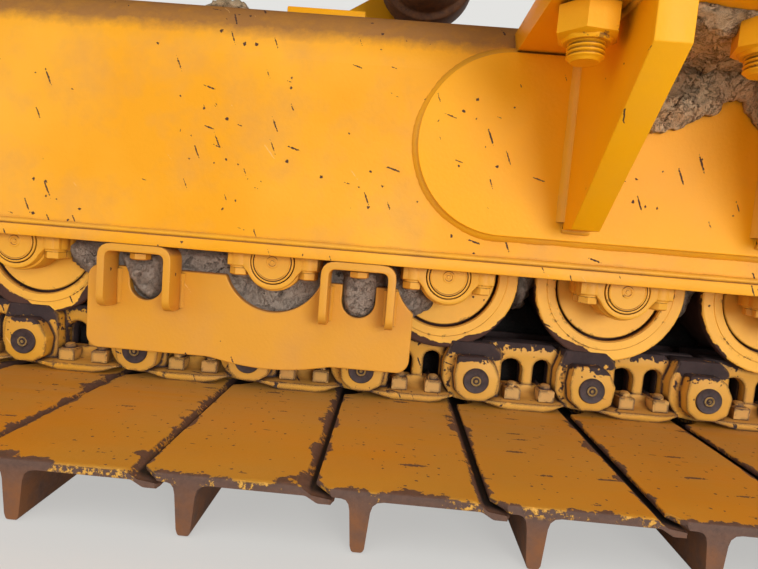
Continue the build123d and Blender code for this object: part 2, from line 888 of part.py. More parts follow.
# One chain pitch: shoe, and each side a rail plate with the pin boss plate outside it
with BuildPart() as chain_pitch:
    next_front = pitch - shoe_lead
    plate_under = -shoe_seat - shoe_plate
    nose_under = -shoe_seat - shoe_nose
    lip_end = nose_under - lip_drop
    with BuildSketch(Plane.XZ):
        with BuildLine():
            Polyline(
                (-shoe_lead, -shoe_seat),
                (next_front - lip_bend, -shoe_seat),
                (next_front - lap_gap, nose_under - lap_gap),
                (next_front + shoe_lap, lip_end),
                (next_front + shoe_lap, lip_end - lip_thickness),
                (next_front - lip_bend, plate_under),
                (grouser_offset + grouser_root / 2, plate_under),
                (grouser_offset + grouser_tip / 2, plate_under - grouser_height),
                (grouser_offset - grouser_tip / 2, plate_under - grouser_height),
                (grouser_offset - grouser_root / 2, plate_under),
                (-shoe_lead, nose_under),
                close=True,
            )
        make_face()
    extrude(amount=shoe_width / 2, both=True)
    for face in (rail_outer, -rail_inner):
        with BuildSketch(side_view(face)):
            with BuildLine():
                Polyline(
                    (rail_start, -shoe_seat),
                    (next_front - running_gap, -shoe_seat),
                    (pitch + eye_reach, -eye_drop),
                    (pitch + rail_end, rail_top),
                    (rail_start, rail_top),
                    close=True,
                )
            make_face()
        extrude(amount=rail_outer - rail_inner)
    for face in (boss_outer, -rail_outer - running_gap):
        with BuildSketch(side_view(face)):
            with BuildLine():
                Polyline(
                    (-boss_nose, -boss_nose_drop),
                    (rail_start, -shoe_seat),
                    (foot_end, -shoe_seat),
                    (boss_heel, boss_top),
                    (-boss_shoulder, boss_top),
                    close=True,
                )
            make_face()
        extrude(amount=boss_outer - rail_outer - running_gap)

# Places of the pitches around the loop: lower run, sprocket, upper run, idler
link_places = []
for x, start_angle in ((sprocket_x, 0.0), (idler_x, pi)):
    for step in range(run_pitches):
        along = pitch * (step - run_pitches / 2)
        flip = cos(start_angle)
        height = pin_height if flip > 0 else upper_pin_height
        link_places.append(Location((flip * along, 0, height), (0, -degrees(start_angle), 0)))
    for step in range(wrapped_pitches):
        turned = start_angle + first_angle + step * link_turn
        pin = (x + pin_circle * sin(turned), 0, axle_height - pin_circle * cos(turned))
        link_places.append(Location(pin, (0, -degrees(turned + link_turn / 2), 0)))
with BuildPart() as track:
    with Locations(link_places):
        add(chain_pitch.part)
save(track, "track")
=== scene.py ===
"""Looks of a pipelayer's left-hand crawler track unit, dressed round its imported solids.

Metres, +X rearwards along the track, +Y inboard, +Z up. The outer side is -Y.
"""

import math
from functools import partial

import bmesh
import bpy
from mathutils import Matrix, Vector, noise


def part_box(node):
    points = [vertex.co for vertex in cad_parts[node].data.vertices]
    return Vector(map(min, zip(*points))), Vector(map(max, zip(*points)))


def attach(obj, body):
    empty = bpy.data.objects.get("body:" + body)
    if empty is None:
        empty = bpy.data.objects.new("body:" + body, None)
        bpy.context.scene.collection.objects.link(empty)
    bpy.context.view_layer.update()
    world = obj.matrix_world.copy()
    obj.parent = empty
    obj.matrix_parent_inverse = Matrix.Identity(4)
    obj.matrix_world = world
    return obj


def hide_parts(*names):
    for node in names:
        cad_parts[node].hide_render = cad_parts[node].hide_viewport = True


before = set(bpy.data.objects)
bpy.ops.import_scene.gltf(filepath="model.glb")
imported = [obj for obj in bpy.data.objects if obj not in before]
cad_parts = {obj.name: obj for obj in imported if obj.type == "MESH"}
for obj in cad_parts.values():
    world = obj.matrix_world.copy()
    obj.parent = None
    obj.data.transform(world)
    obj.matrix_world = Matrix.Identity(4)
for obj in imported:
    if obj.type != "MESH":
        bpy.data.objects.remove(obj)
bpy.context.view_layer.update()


# Studio: a pale floor under an even white sky, one broad soft lamp to the camera's right and weaker
# ones to its left, above and behind. The camera stands low and close to the track's outer side.
def linear(code):
    """An sRGB hex value as the linear RGBA that a node takes."""
    values = [int(code[i : i + 2], 16) / 255 for i in (0, 2, 4)]
    return (*[v / 12.92 if v <= 0.04045 else ((v + 0.055) / 1.055) ** 2.4 for v in values], 1.0)


def node(tree, kind, *values, out=0, **settings):
    """Add a node with its settings, and values or links in their order or by name. Gives an output."""
    made = tree.nodes.new(kind if "Node" in kind else "ShaderNode" + kind)
    for name, value in settings.items():
        setattr(made, name, value)
    by_name = values and isinstance(values[0], dict)
    for key, value in values[0].items() if by_name else enumerate(values):
        if isinstance(value, bpy.types.NodeSocket):
            tree.links.new(value, made.inputs[key])
        else:
            made.inputs[key].default_value = value
    return made.outputs[out] if made.outputs else made


def new_finish(name):
    """An empty material, the call that adds nodes to it, and the surface's own place in metres."""
    finish = bpy.data.materials.new(name)
    finish.use_nodes = True
    finish.node_tree.nodes.clear()
    add = partial(node, finish.node_tree)
    return finish, add, add("TexCoord", out="Object")


def new_object(name, mesh, finish=None):
    """Put a mesh in the scene, with its finish where it has none of its own."""
    made = bpy.data.objects.new(name, mesh)
    bpy.context.scene.collection.objects.link(made)
    if finish:
        mesh.materials.clear()
        mesh.materials.append(finish)
    return made


camera_turn = (84.606, -4.688, 1.747)
camera = new_object("camera", bpy.data.cameras.new("camera"))
camera.location = (0.3675, -1.1540, 0.3937)
camera.rotation_euler = [math.radians(angle) for angle in camera_turn]
camera.data.lens = 26.32
camera.data.sensor_width = 36.0
camera.data.clip_start = 0.02
bpy.context.scene.camera = camera

for name, place, target, size, power in (
    ("key_lamp", (5.4, -11.0, 1.9), (0.4, -0.2, 0.4), 5.0, 860),
    ("fill_lamp", (-7.0, -6.0, 2.4), (0.0, -0.2, 0.4), 5.0, 110),
    ("top_lamp", (0.5, -4.5, 7.0), (0.4, -0.3, 0.2), 6.0, 130),
    ("back_lamp", (1.5, 7.5, 6.0), (0.0, 0.2, 0.6), 5.0, 330)
):
    lamp = new_object(name, bpy.data.lights.new(name, "AREA"))
    lamp.data.size = size
    lamp.data.energy = power
    lamp.location = place
    aim = Vector(target) - Vector(place)
    lamp.rotation_euler = aim.to_track_quat("-Z", "Y").to_euler()

# The sky: white for what it lights, and the backdrop's light grey for what the camera sees
backdrop = linear("E9E8E5")
sky = bpy.data.worlds.new("studio_sky")
sky.use_nodes = True
sky.node_tree.nodes.clear()
add = partial(node, sky.node_tree)
path = add("LightPath").node.outputs
seen = path["Is Camera Ray"]
for ray in ("Is Glossy Ray", "Is Transmission Ray"):
    seen = add("Math", seen, path[ray], operation="MAXIMUM")
lit = add("Background", {"Color": linear("FFFFFF"), "Strength": 0.52})
shown = add("Background", {"Color": backdrop, "Strength": 0.95})
add("OutputWorld", {"Surface": add("MixShader", seen, lit, shown)})
bpy.context.scene.world = sky
bpy.context.scene.view_settings.view_transform = "Standard"

# Pale floor: matt, and near the backdrop's grey, so that only a soft shadow parts it from the sky
floor_finish, add = new_finish("pale_floor")[:2]
matt = add("BsdfPrincipled", {"Base Color": linear("D6D3CC"), "Roughness": 0.9})
pale = add("Emission", {"Color": backdrop, "Strength": 1.0})
seen = add("LightPath", out="Is Camera Ray")
seen = add("Math", seen, 0.55, operation="MULTIPLY")
add("OutputMaterial", {"Surface": add("MixShader", seen, matt, pale)})
floor_mesh = bpy.data.meshes.new("floor")
floor_reach, floor_height = 30.0, -0.0006
floor_corners = [
    (x * floor_reach, y * floor_reach, floor_height) for x, y in ((-1, -1), (1, -1), (1, 1), (-1, 1))
]
floor_mesh.from_pydata(floor_corners, [], [(0, 1, 2, 3)])
new_object("floor", floor_mesh, floor_finish)


# Welded steelwork: frame, forks, guides, brackets, guards and the castings, sprayed in one yellow
# enamel. It has faded and gathered road dust on what faces up, with small chips and scratches that
# have rusted dark. Saw-cut and flame-cut edges are rounded off by 2 or 3 mm.
def coated(add, colour, *coats):
    """A colour under coats in their order, each given by its share and its own colour."""
    for share, over in coats:
        over = linear(over) if isinstance(over, str) else over
        colour = add("Mix", {0: share, 6: colour, 7: over}, out=2, data_type="RGBA")
    return colour


def patches(add, place, scale, detail, low, high, least=0.0, most=1.0):
    """Soft-edged patches of noise, least where it is under low and most where it is over high."""
    field = add("TexNoise", {"Vector": place, "Scale": scale, "Detail": detail})
    return add("MapRange", field, low, high, least, most)


def surfaced(finish, add, colour, rough, height, strength, depth, more=None):
    """Close a finish with its colour, roughness and relief, and any more inputs of the shader."""
    relief = add("Bump", {"Height": height, "Strength": strength, "Distance": depth})
    body = {"Base Color": colour, "Roughness": rough, "Normal": relief, **(more or {})}
    add("OutputMaterial", {"Surface": add("BsdfPrincipled", body)})
    return finish


def flat_place(add, place, normal):
    """The place laid flat on the main plane that a face is nearest to, past the diagonal's cosine."""
    diagonal = 0.71
    at = add("SeparateXYZ", place).node.outputs
    facing = add("VectorMath", normal, operation="ABSOLUTE")
    facing = add("SeparateXYZ", facing).node.outputs
    endwise = add("Math", facing["X"], diagonal, operation="GREATER_THAN")
    level = add("Math", facing["Z"], diagonal, operation="GREATER_THAN")
    along = add("Mix", {0: endwise, 2: at["X"], 3: at["Y"]})
    rise = add("Mix", {0: level, 2: at["Z"], 3: at["Y"]})
    return add("CombineXYZ", along, rise)


def flecks(add, flat, cluster, cell, share, half_width, lean=0.0, drawn=1.0):
    """Small marks in clusters, one in a share of the cells, drawn out so many times along a lean."""
    turn, stretch = (0.0, 0.0, lean), (1.0, drawn, 1.0)
    leaning = add("Mapping", {"Vector": flat, "Rotation": turn, "Scale": stretch}, vector_type="TEXTURE")
    cells = add("TexVoronoi", {"Vector": leaning, "Scale": 1 / cell}, voronoi_dimensions="2D").node.outputs
    pick = add("SeparateXYZ", cells["Color"]).node.outputs
    odds = add("Math", cluster, share, operation="MULTIPLY")
    chosen = add("Math", pick["X"], odds, operation="LESS_THAN")
    jag = add("TexNoise", {"Vector": flat, "Scale": 300.0, "Detail": 2.0})
    limit = half_width / cell
    apart = add("Math", jag, 2.6 * limit, cells["Distance"], operation="MULTIPLY_ADD")
    reach = add("MapRange", pick["Y"], 0.0, 1.0, 1.5 * limit, 2.6 * limit)
    inside = add("Math", apart, reach, operation="LESS_THAN")
    return add("Math", chosen, inside, operation="MULTIPLY")


def enamel(
    name, fresh, faded, dust=0.9, chipped=0.5, bare=0.3, film=0.3, grime_and_shade=0.6, dark=False, wear_and_shade_by=None
):
    """Enamel: dust, film are shares of dirt; grime of corner grime and painted shade; chipped, bare of
    bared steel.
    """
    finish, add, place = new_finish(name)
    normal = add("NewGeometry", out="Normal")

    # Fading over areas as large as a hand or a door, and a thin tan film of dust in patches
    slow = patches(add, place, 2.4, 4.0, 0.35, 0.65)
    patch = add("TexNoise", {"Vector": place, "Scale": 9.0, "Detail": 8.0, "Roughness": 0.62})
    thin = add("MapRange", patch, 0.46, 0.72, 0.0, film)

    # Settled dust on what faces up
    grain = add("TexNoise", {"Vector": place, "Scale": 26.0, "Detail": 9.0, "Roughness": 0.7})
    lying = add("Math", grain, 0.3, add("SeparateXYZ", normal, out="Z"), operation="MULTIPLY_ADD")
    lying = add("MapRange", lying, 0.42, 0.66)
    uneven = add("MapRange", grain, 0.25, 0.55, 0.7 * dust, dust)
    lying = add("Math", lying, uneven, operation="MULTIPLY")
    dust_colour = coated(add, linear("8A5E30"), (grain, "AE7C46"))

    # Grime, which stays out of the wind, and painted shade, both dark in the corners where parts meet
    open_air = add("AmbientOcclusion", {"Distance": 0.022}, out="AO", samples=6)
    corner_grime_and_shade = add("MapRange", open_air, 0.66, 0.36, 0.0, grime_and_shade)
    for share in (patch, 1.7):
        corner_grime_and_shade = add("Math", corner_grime_and_shade, share, operation="MULTIPLY")

    # Chips a few millimetres across, and scratches that slant down to the rear or lie nearly level
    flat = flat_place(add, place, normal)
    cluster = patches(add, place, 6.5, 3.0, 0.44, 0.60, least=0.04)
    dots = flecks(add, flat, cluster, 0.021, 0.11 * chipped, 0.0024)
    steep = flecks(add, flat, cluster, 0.019, 0.55 * chipped, 0.0013, lean=0.40, drawn=9.0)
    shallow = flecks(add, flat, cluster, 0.023, 0.40 * chipped, 0.0013, lean=1.30, drawn=8.0)
    scuffs = flecks(add, flat, cluster, 0.024, 0.35 * chipped, 0.0009, lean=0.70, drawn=16.0)
    scuffs = add("Math", scuffs, 0.55, operation="MULTIPLY")

    # Edges where the paint is knocked off, found where a rounded normal leaves the true one
    soft = add("Bevel", {"Radius": 0.009}, samples=4)
    level = add("VectorMath", normal, soft, out="Value", operation="DOT_PRODUCT")
    edge = add("MapRange", level, 0.985, 0.90)
    ragged = add("TexNoise", {"Vector": place, "Scale": 34.0, "Detail": 6.0, "Roughness": 0.7})
    broken = add("MapRange", ragged, 0.70 - 0.26 * bare, 0.73 - 0.26 * bare)
    edge = add("Math", edge, broken, operation="MULTIPLY")
    # Bared steel, with any marks the part adds; some of those are painted shade in gaps and grooves
    bared_and_shaded = dots
    for worn in (steep, shallow, edge, *([wear_and_shade_by(add, ragged)] if wear_and_shade_by else [])):
        bared_and_shaded = add("Math", bared_and_shaded, worn, operation="MAXIMUM")

    # All coats in their order, from the sprayed colour to the steel that rusts where it is bared;
    # that dark colour is also painted as shade where a part's own marks ask for it
    deep, light = ("171113", "51403E") if dark else ("2C1C18", "66463A")
    rust = coated(add, linear(deep), (grain, light))
    colour = coated(
        add, linear(fresh), (slow, faded), (thin, "CF9450"), (lying, dust_colour), (corner_grime_and_shade, "5E3F20"),
        (scuffs, "F4C67E"), (bared_and_shaded, rust)
    )

    # Gloss falls where dust lies or rust shows; orange peel and chips give the relief
    dull = add("Math", lying, bared_and_shaded, operation="MAXIMUM")
    rough = add("MapRange", dull, 0.0, 1.0, 0.50, 0.85)
    peel = add("TexNoise", {"Vector": place, "Scale": 170.0, "Detail": 3.0})
    height = add("Math", bared_and_shaded, -0.9, peel, operation="MULTIPLY_ADD")
    return surfaced(finish, add, colour, rough, height, 0.4, 0.0009, {"Specular IOR Level": 0.3})


def settled(name, mesh, finish, stands_for):
    """Show a mesh as a piece that rides on the unit and stands for its solids."""
    made = new_object(name, mesh, finish)
    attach(made, "root")
    if stands_for:
        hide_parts(*stands_for)


widest_bend = 0.04


def finished(name, shape, finish, slot, *stands_for, sharp=32):
    """Turn a bmesh into a piece. Faces wider than any strip of a bend are flat, the rest smooth."""
    mesh = bpy.data.meshes.new(name)
    shape.to_mesh(mesh)
    shape.free()
    mesh.set_sharp_from_angle(angle=math.radians(sharp))
    for face in mesh.polygons:
        girth = sum((mesh.vertices[a].co - mesh.vertices[b].co).length for a, b in face.edge_keys)
        face.use_smooth = 2 * face.area / girth < widest_bend
    settled(name, mesh, finish, stands_for)


def dressed(solid, finish, slot, edge=0.0025):
    """Copy a solid with its flat faces made whole and its edges rounded off, and show the copy."""
    shape = bmesh.new()
    shape.from_mesh(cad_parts[solid].data)
    bmesh.ops.remove_doubles(shape, verts=shape.verts, dist=2e-5)
    bmesh.ops.dissolve_limit(shape, angle_limit=math.radians(0.6), verts=shape.verts, edges=shape.edges)
    mesh = bpy.data.meshes.new(solid)
    shape.to_mesh(mesh)
    shape.free()
    rough_cut = new_object(solid + "_rough", mesh)
    rounding = rough_cut.modifiers.new("rounding", "BEVEL")
    rounding.width = edge
    rounding.segments = 2
    rounding.limit_method = "ANGLE"
    rounding.angle_limit = math.radians(32)
    shape = bmesh.new()
    shape.from_object(rough_cut, bpy.context.evaluated_depsgraph_get())
    bpy.data.objects.remove(rough_cut)
    finished(solid + "_skin", shape, finish, slot, solid, sharp=28)


# Frame enamel: deep yellow gone chalky and dull, dusty on its ledges, with dark nicks in clusters
frame_enamel = enamel("frame_enamel", "F2A408", "FCB634", dust=0.95, chipped=1.4, bare=0.1, film=0.45)
for solid in ("track_frame", "sprocket_arms", "idler_guides", "pivot_brace", "equaliser_seat"):
    dressed(solid, frame_enamel, "yellow_paint")
# Bracket enamel: the cleanest and brightest yellow, since nothing rubs on these thick plates
bracket_enamel = enamel("bracket_enamel", "FAAC02", "FFB406", dust=0.8, chipped=1.0, bare=0.05, film=0.12)
for solid in ("boom_bracket_front", "boom_bracket_rear", "boom_foot_front", "boom_foot_rear"):
    dressed(solid, bracket_enamel, "yellow_paint")
# Guard enamel: a duller ochre yellow, evenly filmed with dust and hardly chipped
guard_enamel = enamel("guard_enamel", "DC9A2A", "E4A238", dust=0.8, chipped=0.2, bare=0.1, film=0.4)
for solid in ("front", "centre", "rear"):
    for side in ("outer", "inner"):
        dressed(f"{solid}_guard_{side}", guard_enamel, "yellow_paint")
for solid in ("idler_yoke", "idler_blocks", "bearing_cap", "sprocket_hub", "carrier_brackets"):
    dressed(solid, bracket_enamel, "yellow_paint")


# Weld beads: arc-welded fillets along the doubler plates, gussets, shelves and the frame's lower
# edge, painted over with the frame. Each bead is a run of overlapping ripples a few millimetres long.
def around(radius, steps, turn=0.0):
    """Points evenly spread on a circle."""
    angles = [turn + 2 * math.pi * k / steps for k in range(steps)]
    return [(radius * math.cos(angle), radius * math.sin(angle)) for angle in angles]


def skinned(shape, rings, *ends):
    """Join rings of equally many points by faces, and close the ends that are given."""
    for first, second in zip(rings, rings[1:]):
        for k in range(len(first)):
            n = (k + 1) % len(first)
            shape.faces.new((first[k], first[n], second[n], second[k]))
    for end in ends:
        shape.faces.new(end)


def weld_run(shape, corners, radius, closed=False, step=0.006, ring=8, ripple=0.010):
    """Add a rippled bead along straight runs between corners, as a closed tube."""
    corners = [Vector(c) for c in corners]
    points = []
    for start, stop in zip(corners, corners[1:] + ([corners[0]] if closed else [])):
        count = max(1, round((stop - start).length / step))
        points += [start.lerp(stop, k / count) for k in range(count)]
    if not closed:
        points.append(corners[-1])
    rings = []
    for k, point in enumerate(points):
        ahead = points[(k + 1) % len(points)] if closed or k + 1 < len(points) else point
        back = points[k - 1] if closed or k > 0 else point
        along = (ahead - back).normalized()
        side = along.cross(Vector((0.31, 0.87, 0.38))).normalized()
        other = along.cross(side)
        swell = radius + ripple * (0.05 * (k % 2) + 0.16 * noise.noise(point * 26.0) - 0.05)
        rings.append([shape.verts.new(point + side * x + other * y) for x, y in around(swell, ring)])
    if closed:
        skinned(shape, rings + rings[:1])
    else:
        skinned(shape, rings, rings[0], rings[-1][::-1])


beads = bmesh.new()
frame_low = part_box("track_frame")[0]
frame_face = 0.191
flange_top = frame_low.z + 0.020
seam_front, seam_rear, seam_off, seam_radius = -1.19, 1.28, 0.004, 0.0065
for side in (-1, 1):
    seam = [(x, side * (frame_face + seam_off), flange_top + seam_off) for x in (seam_front, seam_rear)]
    weld_run(beads, seam, seam_radius, step=0.010)
doubler_reach, doubler_radius, doubler_thickness = 0.287, 0.151, 0.016
gusset_offset, gusset_half, gusset_foot = 0.161, 0.023, 0.423
shelf_under = 0.709
weld_sunk, doubler_bead, gusset_bead, thin_bead = 0.010, 0.0225, 0.0245, 0.007
ring_radius = doubler_radius - weld_sunk
doubler_face = -frame_face - doubler_thickness
for solid in ("boom_bracket_front", "boom_bracket_rear"):
    low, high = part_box(solid)
    middle = (low.x + high.x) / 2
    centre = low.z + doubler_radius
    ring = []
    for end in (1, -1):
        for k in range(25):
            angle = math.pi * (k / 24 - 0.5)
            along = doubler_reach + ring_radius * math.cos(angle)
            rise = ring_radius * math.sin(angle)
            ring.append((middle + end * along, -frame_face + weld_sunk, centre + end * rise))
    weld_run(beads, ring, doubler_bead, closed=True, ring=14)
    for gusset in (middle - gusset_offset, middle + gusset_offset):
        for side in (-1, 1):
            x = gusset + side * (gusset_half - weld_sunk)
            y = doubler_face + weld_sunk
            weld_run(beads, [(x, y, gusset_foot + 0.012), (x, y, shelf_under)], gusset_bead, ring=14)
            x = gusset + side * gusset_half
            weld_run(beads, [(x, doubler_face, shelf_under), (x, low.y + 0.006, shelf_under)], thin_bead)
        toe = [(gusset + side * gusset_half, doubler_face, gusset_foot) for side in (-1, 1)]
        weld_run(beads, toe, thin_bead)
bmesh.ops.recalc_face_normals(beads, faces=beads.faces)
# Weld enamel: the frame's yellow without chips, so that only the ripples catch the light
weld_enamel = enamel("weld_enamel", "F0AA1C", "F6B230", dust=0.3, chipped=0.0, bare=0.0, film=0.4)
finished("weld_beads", beads, weld_enamel, "yellow_paint", sharp=80)


# Boom-foot bolts: large hexagon bolts with cut threads, turned down through the foot and shelf and
# held by heavy nuts, then painted over with the brackets.
def turned(profile, steps=32):
    """Spin a closed or axis-to-axis profile of (radius, along) round the Z axis."""
    shape = bmesh.new()
    rings = []
    for radius, along in profile:
        spots = around(radius, steps) if radius else [(0, 0)]
        rings.append([shape.verts.new((x, y, along)) for x, y in spots])
    for first, second in zip(rings, rings[1:]):
        for k in range(steps):
            n = (k + 1) % steps
            corners = [first[k % len(first)], first[n % len(first)]]
            corners += [second[n % len(second)], second[k % len(second)]]
            shape.faces.new(list(dict.fromkeys(corners)))
    bmesh.ops.recalc_face_normals(shape, faces=shape.faces)
    return shape


def disc(radius, low, high, steps=24):
    """A plain round disc, for a washer or a spot face."""
    return turned([(0.0, low), (radius, low), (radius, high), (0.0, high)], steps)


def hexagon(flats, low, high, chamfer, sides=6, turn=0.0):
    """A nut or bolt head: a prism with both ends chamfered, as the turned corners of a nut are."""
    shape = bmesh.new()
    reach = flats / 2 / math.cos(math.pi / sides)
    small = reach - 1.6 * chamfer
    levels = ((small, low), (reach, low + chamfer), (reach, high - chamfer), (small, high))
    rings = [[shape.verts.new((x, y, z)) for x, y in around(radius, sides, turn)] for radius, z in levels]
    skinned(shape, rings, rings[0][::-1], rings[-1])
    return shape


def joined(*shapes):
    """One bmesh from several, which are used up. Each is a bmesh, or a bmesh and its placing matrix."""
    whole = bmesh.new()
    for item in shapes:
        shape, place = item if isinstance(item, tuple) else (item, Matrix())
        bmesh.ops.transform(shape, matrix=place, verts=shape.verts)
        if place.determinant() < 0:
            bmesh.ops.reverse_faces(shape, faces=shape.faces)
        mesh = bpy.data.meshes.new("part")
        shape.to_mesh(mesh)
        shape.free()
        whole.from_mesh(mesh)
        bpy.data.meshes.remove(mesh)
    return whole


def worked(holder):
    """The mesh that an object's modifiers or curve settings give, once the object is used up."""
    graph = bpy.context.evaluated_depsgraph_get()
    mesh = bpy.data.meshes.new_from_object(holder.evaluated_get(graph))
    bpy.data.objects.remove(holder)
    return mesh


def repeated(name, shape, places, finish, slot, *stands_for, sharp=32):
    """Set a shape out at places, each (x, y, z, turn about Y in radians), by Geometry Nodes.

    The shape keeps its own coordinates as the attribute spot, for wear that follows each copy.
    """
    mesh = bpy.data.meshes.new(name + "_one")
    shape.to_mesh(mesh)
    shape.free()
    mesh.polygons.foreach_set("use_smooth", [True] * len(mesh.polygons))
    mesh.set_sharp_from_angle(angle=math.radians(sharp))
    spot = mesh.attributes.new("spot", "FLOAT_VECTOR", "POINT")
    spot.data.foreach_set("vector", [value for vertex in mesh.vertices for value in vertex.co])
    one = new_object(name + "_one", mesh)

    marks = bpy.data.meshes.new(name)
    marks.from_pydata([place[:3] for place in places], [], [])
    turn = marks.attributes.new("turn", "FLOAT", "POINT")
    turn.data.foreach_set("value", [place[3] for place in places])
    marked = new_object(name + "_marks", marks)

    tree = bpy.data.node_groups.new("set_out", "GeometryNodeTree")
    inputs = {}
    for label, kind in (
        ("Geometry", "Geometry"), ("Shape", "Object"), ("Finish", "Material"), ("Size", "Float")
    ):
        socket_type = "NodeSocket" + kind
        inputs[label] = tree.interface.new_socket(label, in_out="INPUT", socket_type=socket_type)
    tree.interface.new_socket("Geometry", in_out="OUTPUT", socket_type="NodeSocketGeometry")
    add = partial(node, tree)
    given = add("NodeGroupInput").node.outputs
    copy = add("GeometryNodeObjectInfo", {"Object": given["Shape"], "As Instance": True}, out="Geometry")
    angle = add("GeometryNodeInputNamedAttribute", {"Name": "turn"}, data_type="FLOAT")
    spin = add("FunctionNodeEulerToRotation", add("CombineXYZ", {"Y": angle}))
    copies = add(
        "GeometryNodeInstanceOnPoints",
        {"Points": given["Geometry"], "Instance": copy, "Rotation": spin, "Scale": given["Size"]}
    )
    solid = add("GeometryNodeRealizeInstances", copies)
    painted = add("GeometryNodeSetMaterial", {"Geometry": solid, "Material": given["Finish"]})
    add("NodeGroupOutput", painted)
    setting_out = marked.modifiers.new("setting_out", "NODES")
    setting_out.node_group = tree
    for label, value in (("Shape", one), ("Finish", finish), ("Size", 1.0)):
        setting_out[inputs[label].identifier] = value
    result = worked(marked)
    bpy.data.objects.remove(one)
    bpy.data.node_groups.remove(tree)
    result.name = name
    settled(name, result, finish, stands_for)


bolt_low, bolt_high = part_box("boom_foot_bolts")
thread_radius, thread_pitch, thread_depth = 0.0245, 0.006, 0.0032
nut_flats, nut_height, head_height, head_gap = 0.075, 0.046, 0.032, 0.0002
thread_low, thread_root = bolt_low.z, thread_radius - thread_depth
nut_low = shelf_under - nut_height
profile = [(0.0, thread_low), (thread_radius - 0.006, thread_low), (thread_root, thread_low + 0.003)]
for k in range(int((nut_low - thread_low) / thread_pitch) + 1):
    at = thread_low + 0.003 + k * thread_pitch
    profile += [(thread_root, at), (thread_radius, at + 0.35 * thread_pitch)]
    profile += [(thread_radius, at + 0.60 * thread_pitch), (thread_root, at + 0.95 * thread_pitch)]
shank_high = bolt_high.z - 0.02
profile += [(thread_radius, nut_low + 0.01), (thread_radius, shank_high), (0.0, shank_high)]
washer = [
    (0.0, nut_low - 0.002), (0.030, nut_low - 0.002), (0.0335, nut_low + 0.003), (0.0335, nut_low + 0.010),
    (0.0, nut_low + 0.010)
]
nut = hexagon(nut_flats, nut_low + 0.002, shelf_under - head_gap, 0.004, turn=0.2)
head = hexagon(nut_flats, bolt_high.z - head_height + head_gap, bolt_high.z, 0.004, turn=0.5)
foot_bolt = joined(turned(profile, 40), turned(washer, 40), nut, head)
bolt_places = []
bolt_y = (bolt_low.y + bolt_high.y) / 2
bolt_spacing = 0.233
for solid in ("boom_bracket_front", "boom_bracket_rear"):
    low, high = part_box(solid)
    bolt_places += [((low.x + high.x) / 2 + step * bolt_spacing, bolt_y, 0.0, 0.0) for step in (-1, 0, 1)]
# Bolt enamel: the brackets' bright yellow with grime and painted shade in every corner, nicked where a
# spanner sat
bolt_enamel = enamel(
    "bolt_enamel", "F8AE08", "FCB614", dust=0.4, chipped=0.9, bare=0.1, film=0.15, grime_and_shade=1.0
)
repeated("foot_bolts", foot_bolt, bolt_places, bolt_enamel, "bolt_steel", "boom_foot_bolts", sharp=40)


# Bottom rollers: forged double-flanged rollers, painted in place. Each end has a raised outer ring,
# a narrow seal gap painted dark as shade, and a hub face; the treads are bright brown from the chain.
def spot_of(add):
    """The x, y and z of a point on its own copy, and how far it is from that copy's Y axis."""
    spot = add("Attribute", out="Vector", attribute_name="spot")
    parts = add("SeparateXYZ", spot).node.outputs
    flat = add("CombineXYZ", {"X": parts["X"], "Z": parts["Z"]})
    radius = add("VectorMath", flat, out="Value", operation="LENGTH")
    across = add("Math", parts["Y"], operation="ABSOLUTE")
    return parts["X"], across, parts["Z"], radius


tread_radius, flange_radius, face_half, tread_half = 0.1227, 0.141, 0.102, 0.0805
groove_radius, groove_half = 0.1, 0.0021


def roller_wear_and_shade(add, ragged):
    """Bare tread between the flanges, painted shade in the seal gap, and knocked flange rims."""
    _, across, _, radius = spot_of(add)
    tread = add("MapRange", across, tread_half + 0.008, tread_half + 0.004)
    slow = patches(add, add("TexCoord", out="Object"), 4.3, 2.0, 0.44, 0.58, most=0.020)
    wander = add("Math", ragged, 0.016, radius, operation="MULTIPLY_ADD")
    wander = add("Math", wander, slow)
    rims_and_groove_shade = add("MapRange", wander, flange_radius + 0.0066, flange_radius + 0.0074)
    # Painted shade: the seal gap's groove is dark all round
    painted_groove_shade = add("Math", radius, groove_radius, groove_half, operation="COMPARE")
    rims_and_groove_shade = add("Math", rims_and_groove_shade, painted_groove_shade, operation="MAXIMUM")
    # Painted shade deep in the seal gap; the mask also darkens all that lies nearer the middle
    gap = add("MapRange", across, face_half - 0.0085, face_half - 0.0100)
    worn = add("Math", tread, rims_and_groove_shade, operation="MAXIMUM")
    return add("Math", worn, gap, operation="MAXIMUM")


def both_ways(half):
    """A half profile, with the same again past its middle."""
    return half + [(radius, -along) for radius, along in reversed(half[:-1])]


half_roller = [
    (0.0, 0.095), (0.0955, 0.095), (0.0975, 0.093), (0.0978, 0.08), (0.1022, 0.08), (0.1025, 0.0995),
    (0.105, 0.102), (0.1185, 0.102), (0.1195, 0.1008), (0.1205, 0.1015), (0.1375, 0.1012), (0.14, 0.0995),
    (0.141, 0.097), (0.141, 0.086), (0.14, 0.084), (0.126, 0.08), (0.1227, 0.077), (0.1227, 0.0)
]
about_y = Matrix.Rotation(math.radians(-90), 4, "X")
roller_low, roller_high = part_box("bottom_rollers")
axle_height = (roller_low.z + roller_high.z) / 2
roller_spacing, middle_gap = 0.313, 0.4658
roller_middle = (roller_low.x + roller_high.x) / 2
roller_xs = [
    roller_middle + side * (middle_gap / 2 + roller_spacing * step) for side in (-1, 1) for step in range(4)
]
roller_places = [(x, 0.0, axle_height, 0.6 * k) for k, x in enumerate(roller_xs)]
# Roller enamel: a dusty yellow, paler than the frame's as painted light for the frame's shade, up to
# the flanges' rims, then bare brown steel on the treads
lit_roller_enamel = enamel(
    "lit_roller_enamel", "FABA40", "FEC252", dust=0.6, chipped=0.8, bare=0.5, film=0.35, wear_and_shade_by=roller_wear_and_shade
)
roller = joined((turned(both_ways(half_roller), 56), about_y))
repeated("rollers", roller, roller_places, lit_roller_enamel, "yellow_paint", "bottom_rollers")


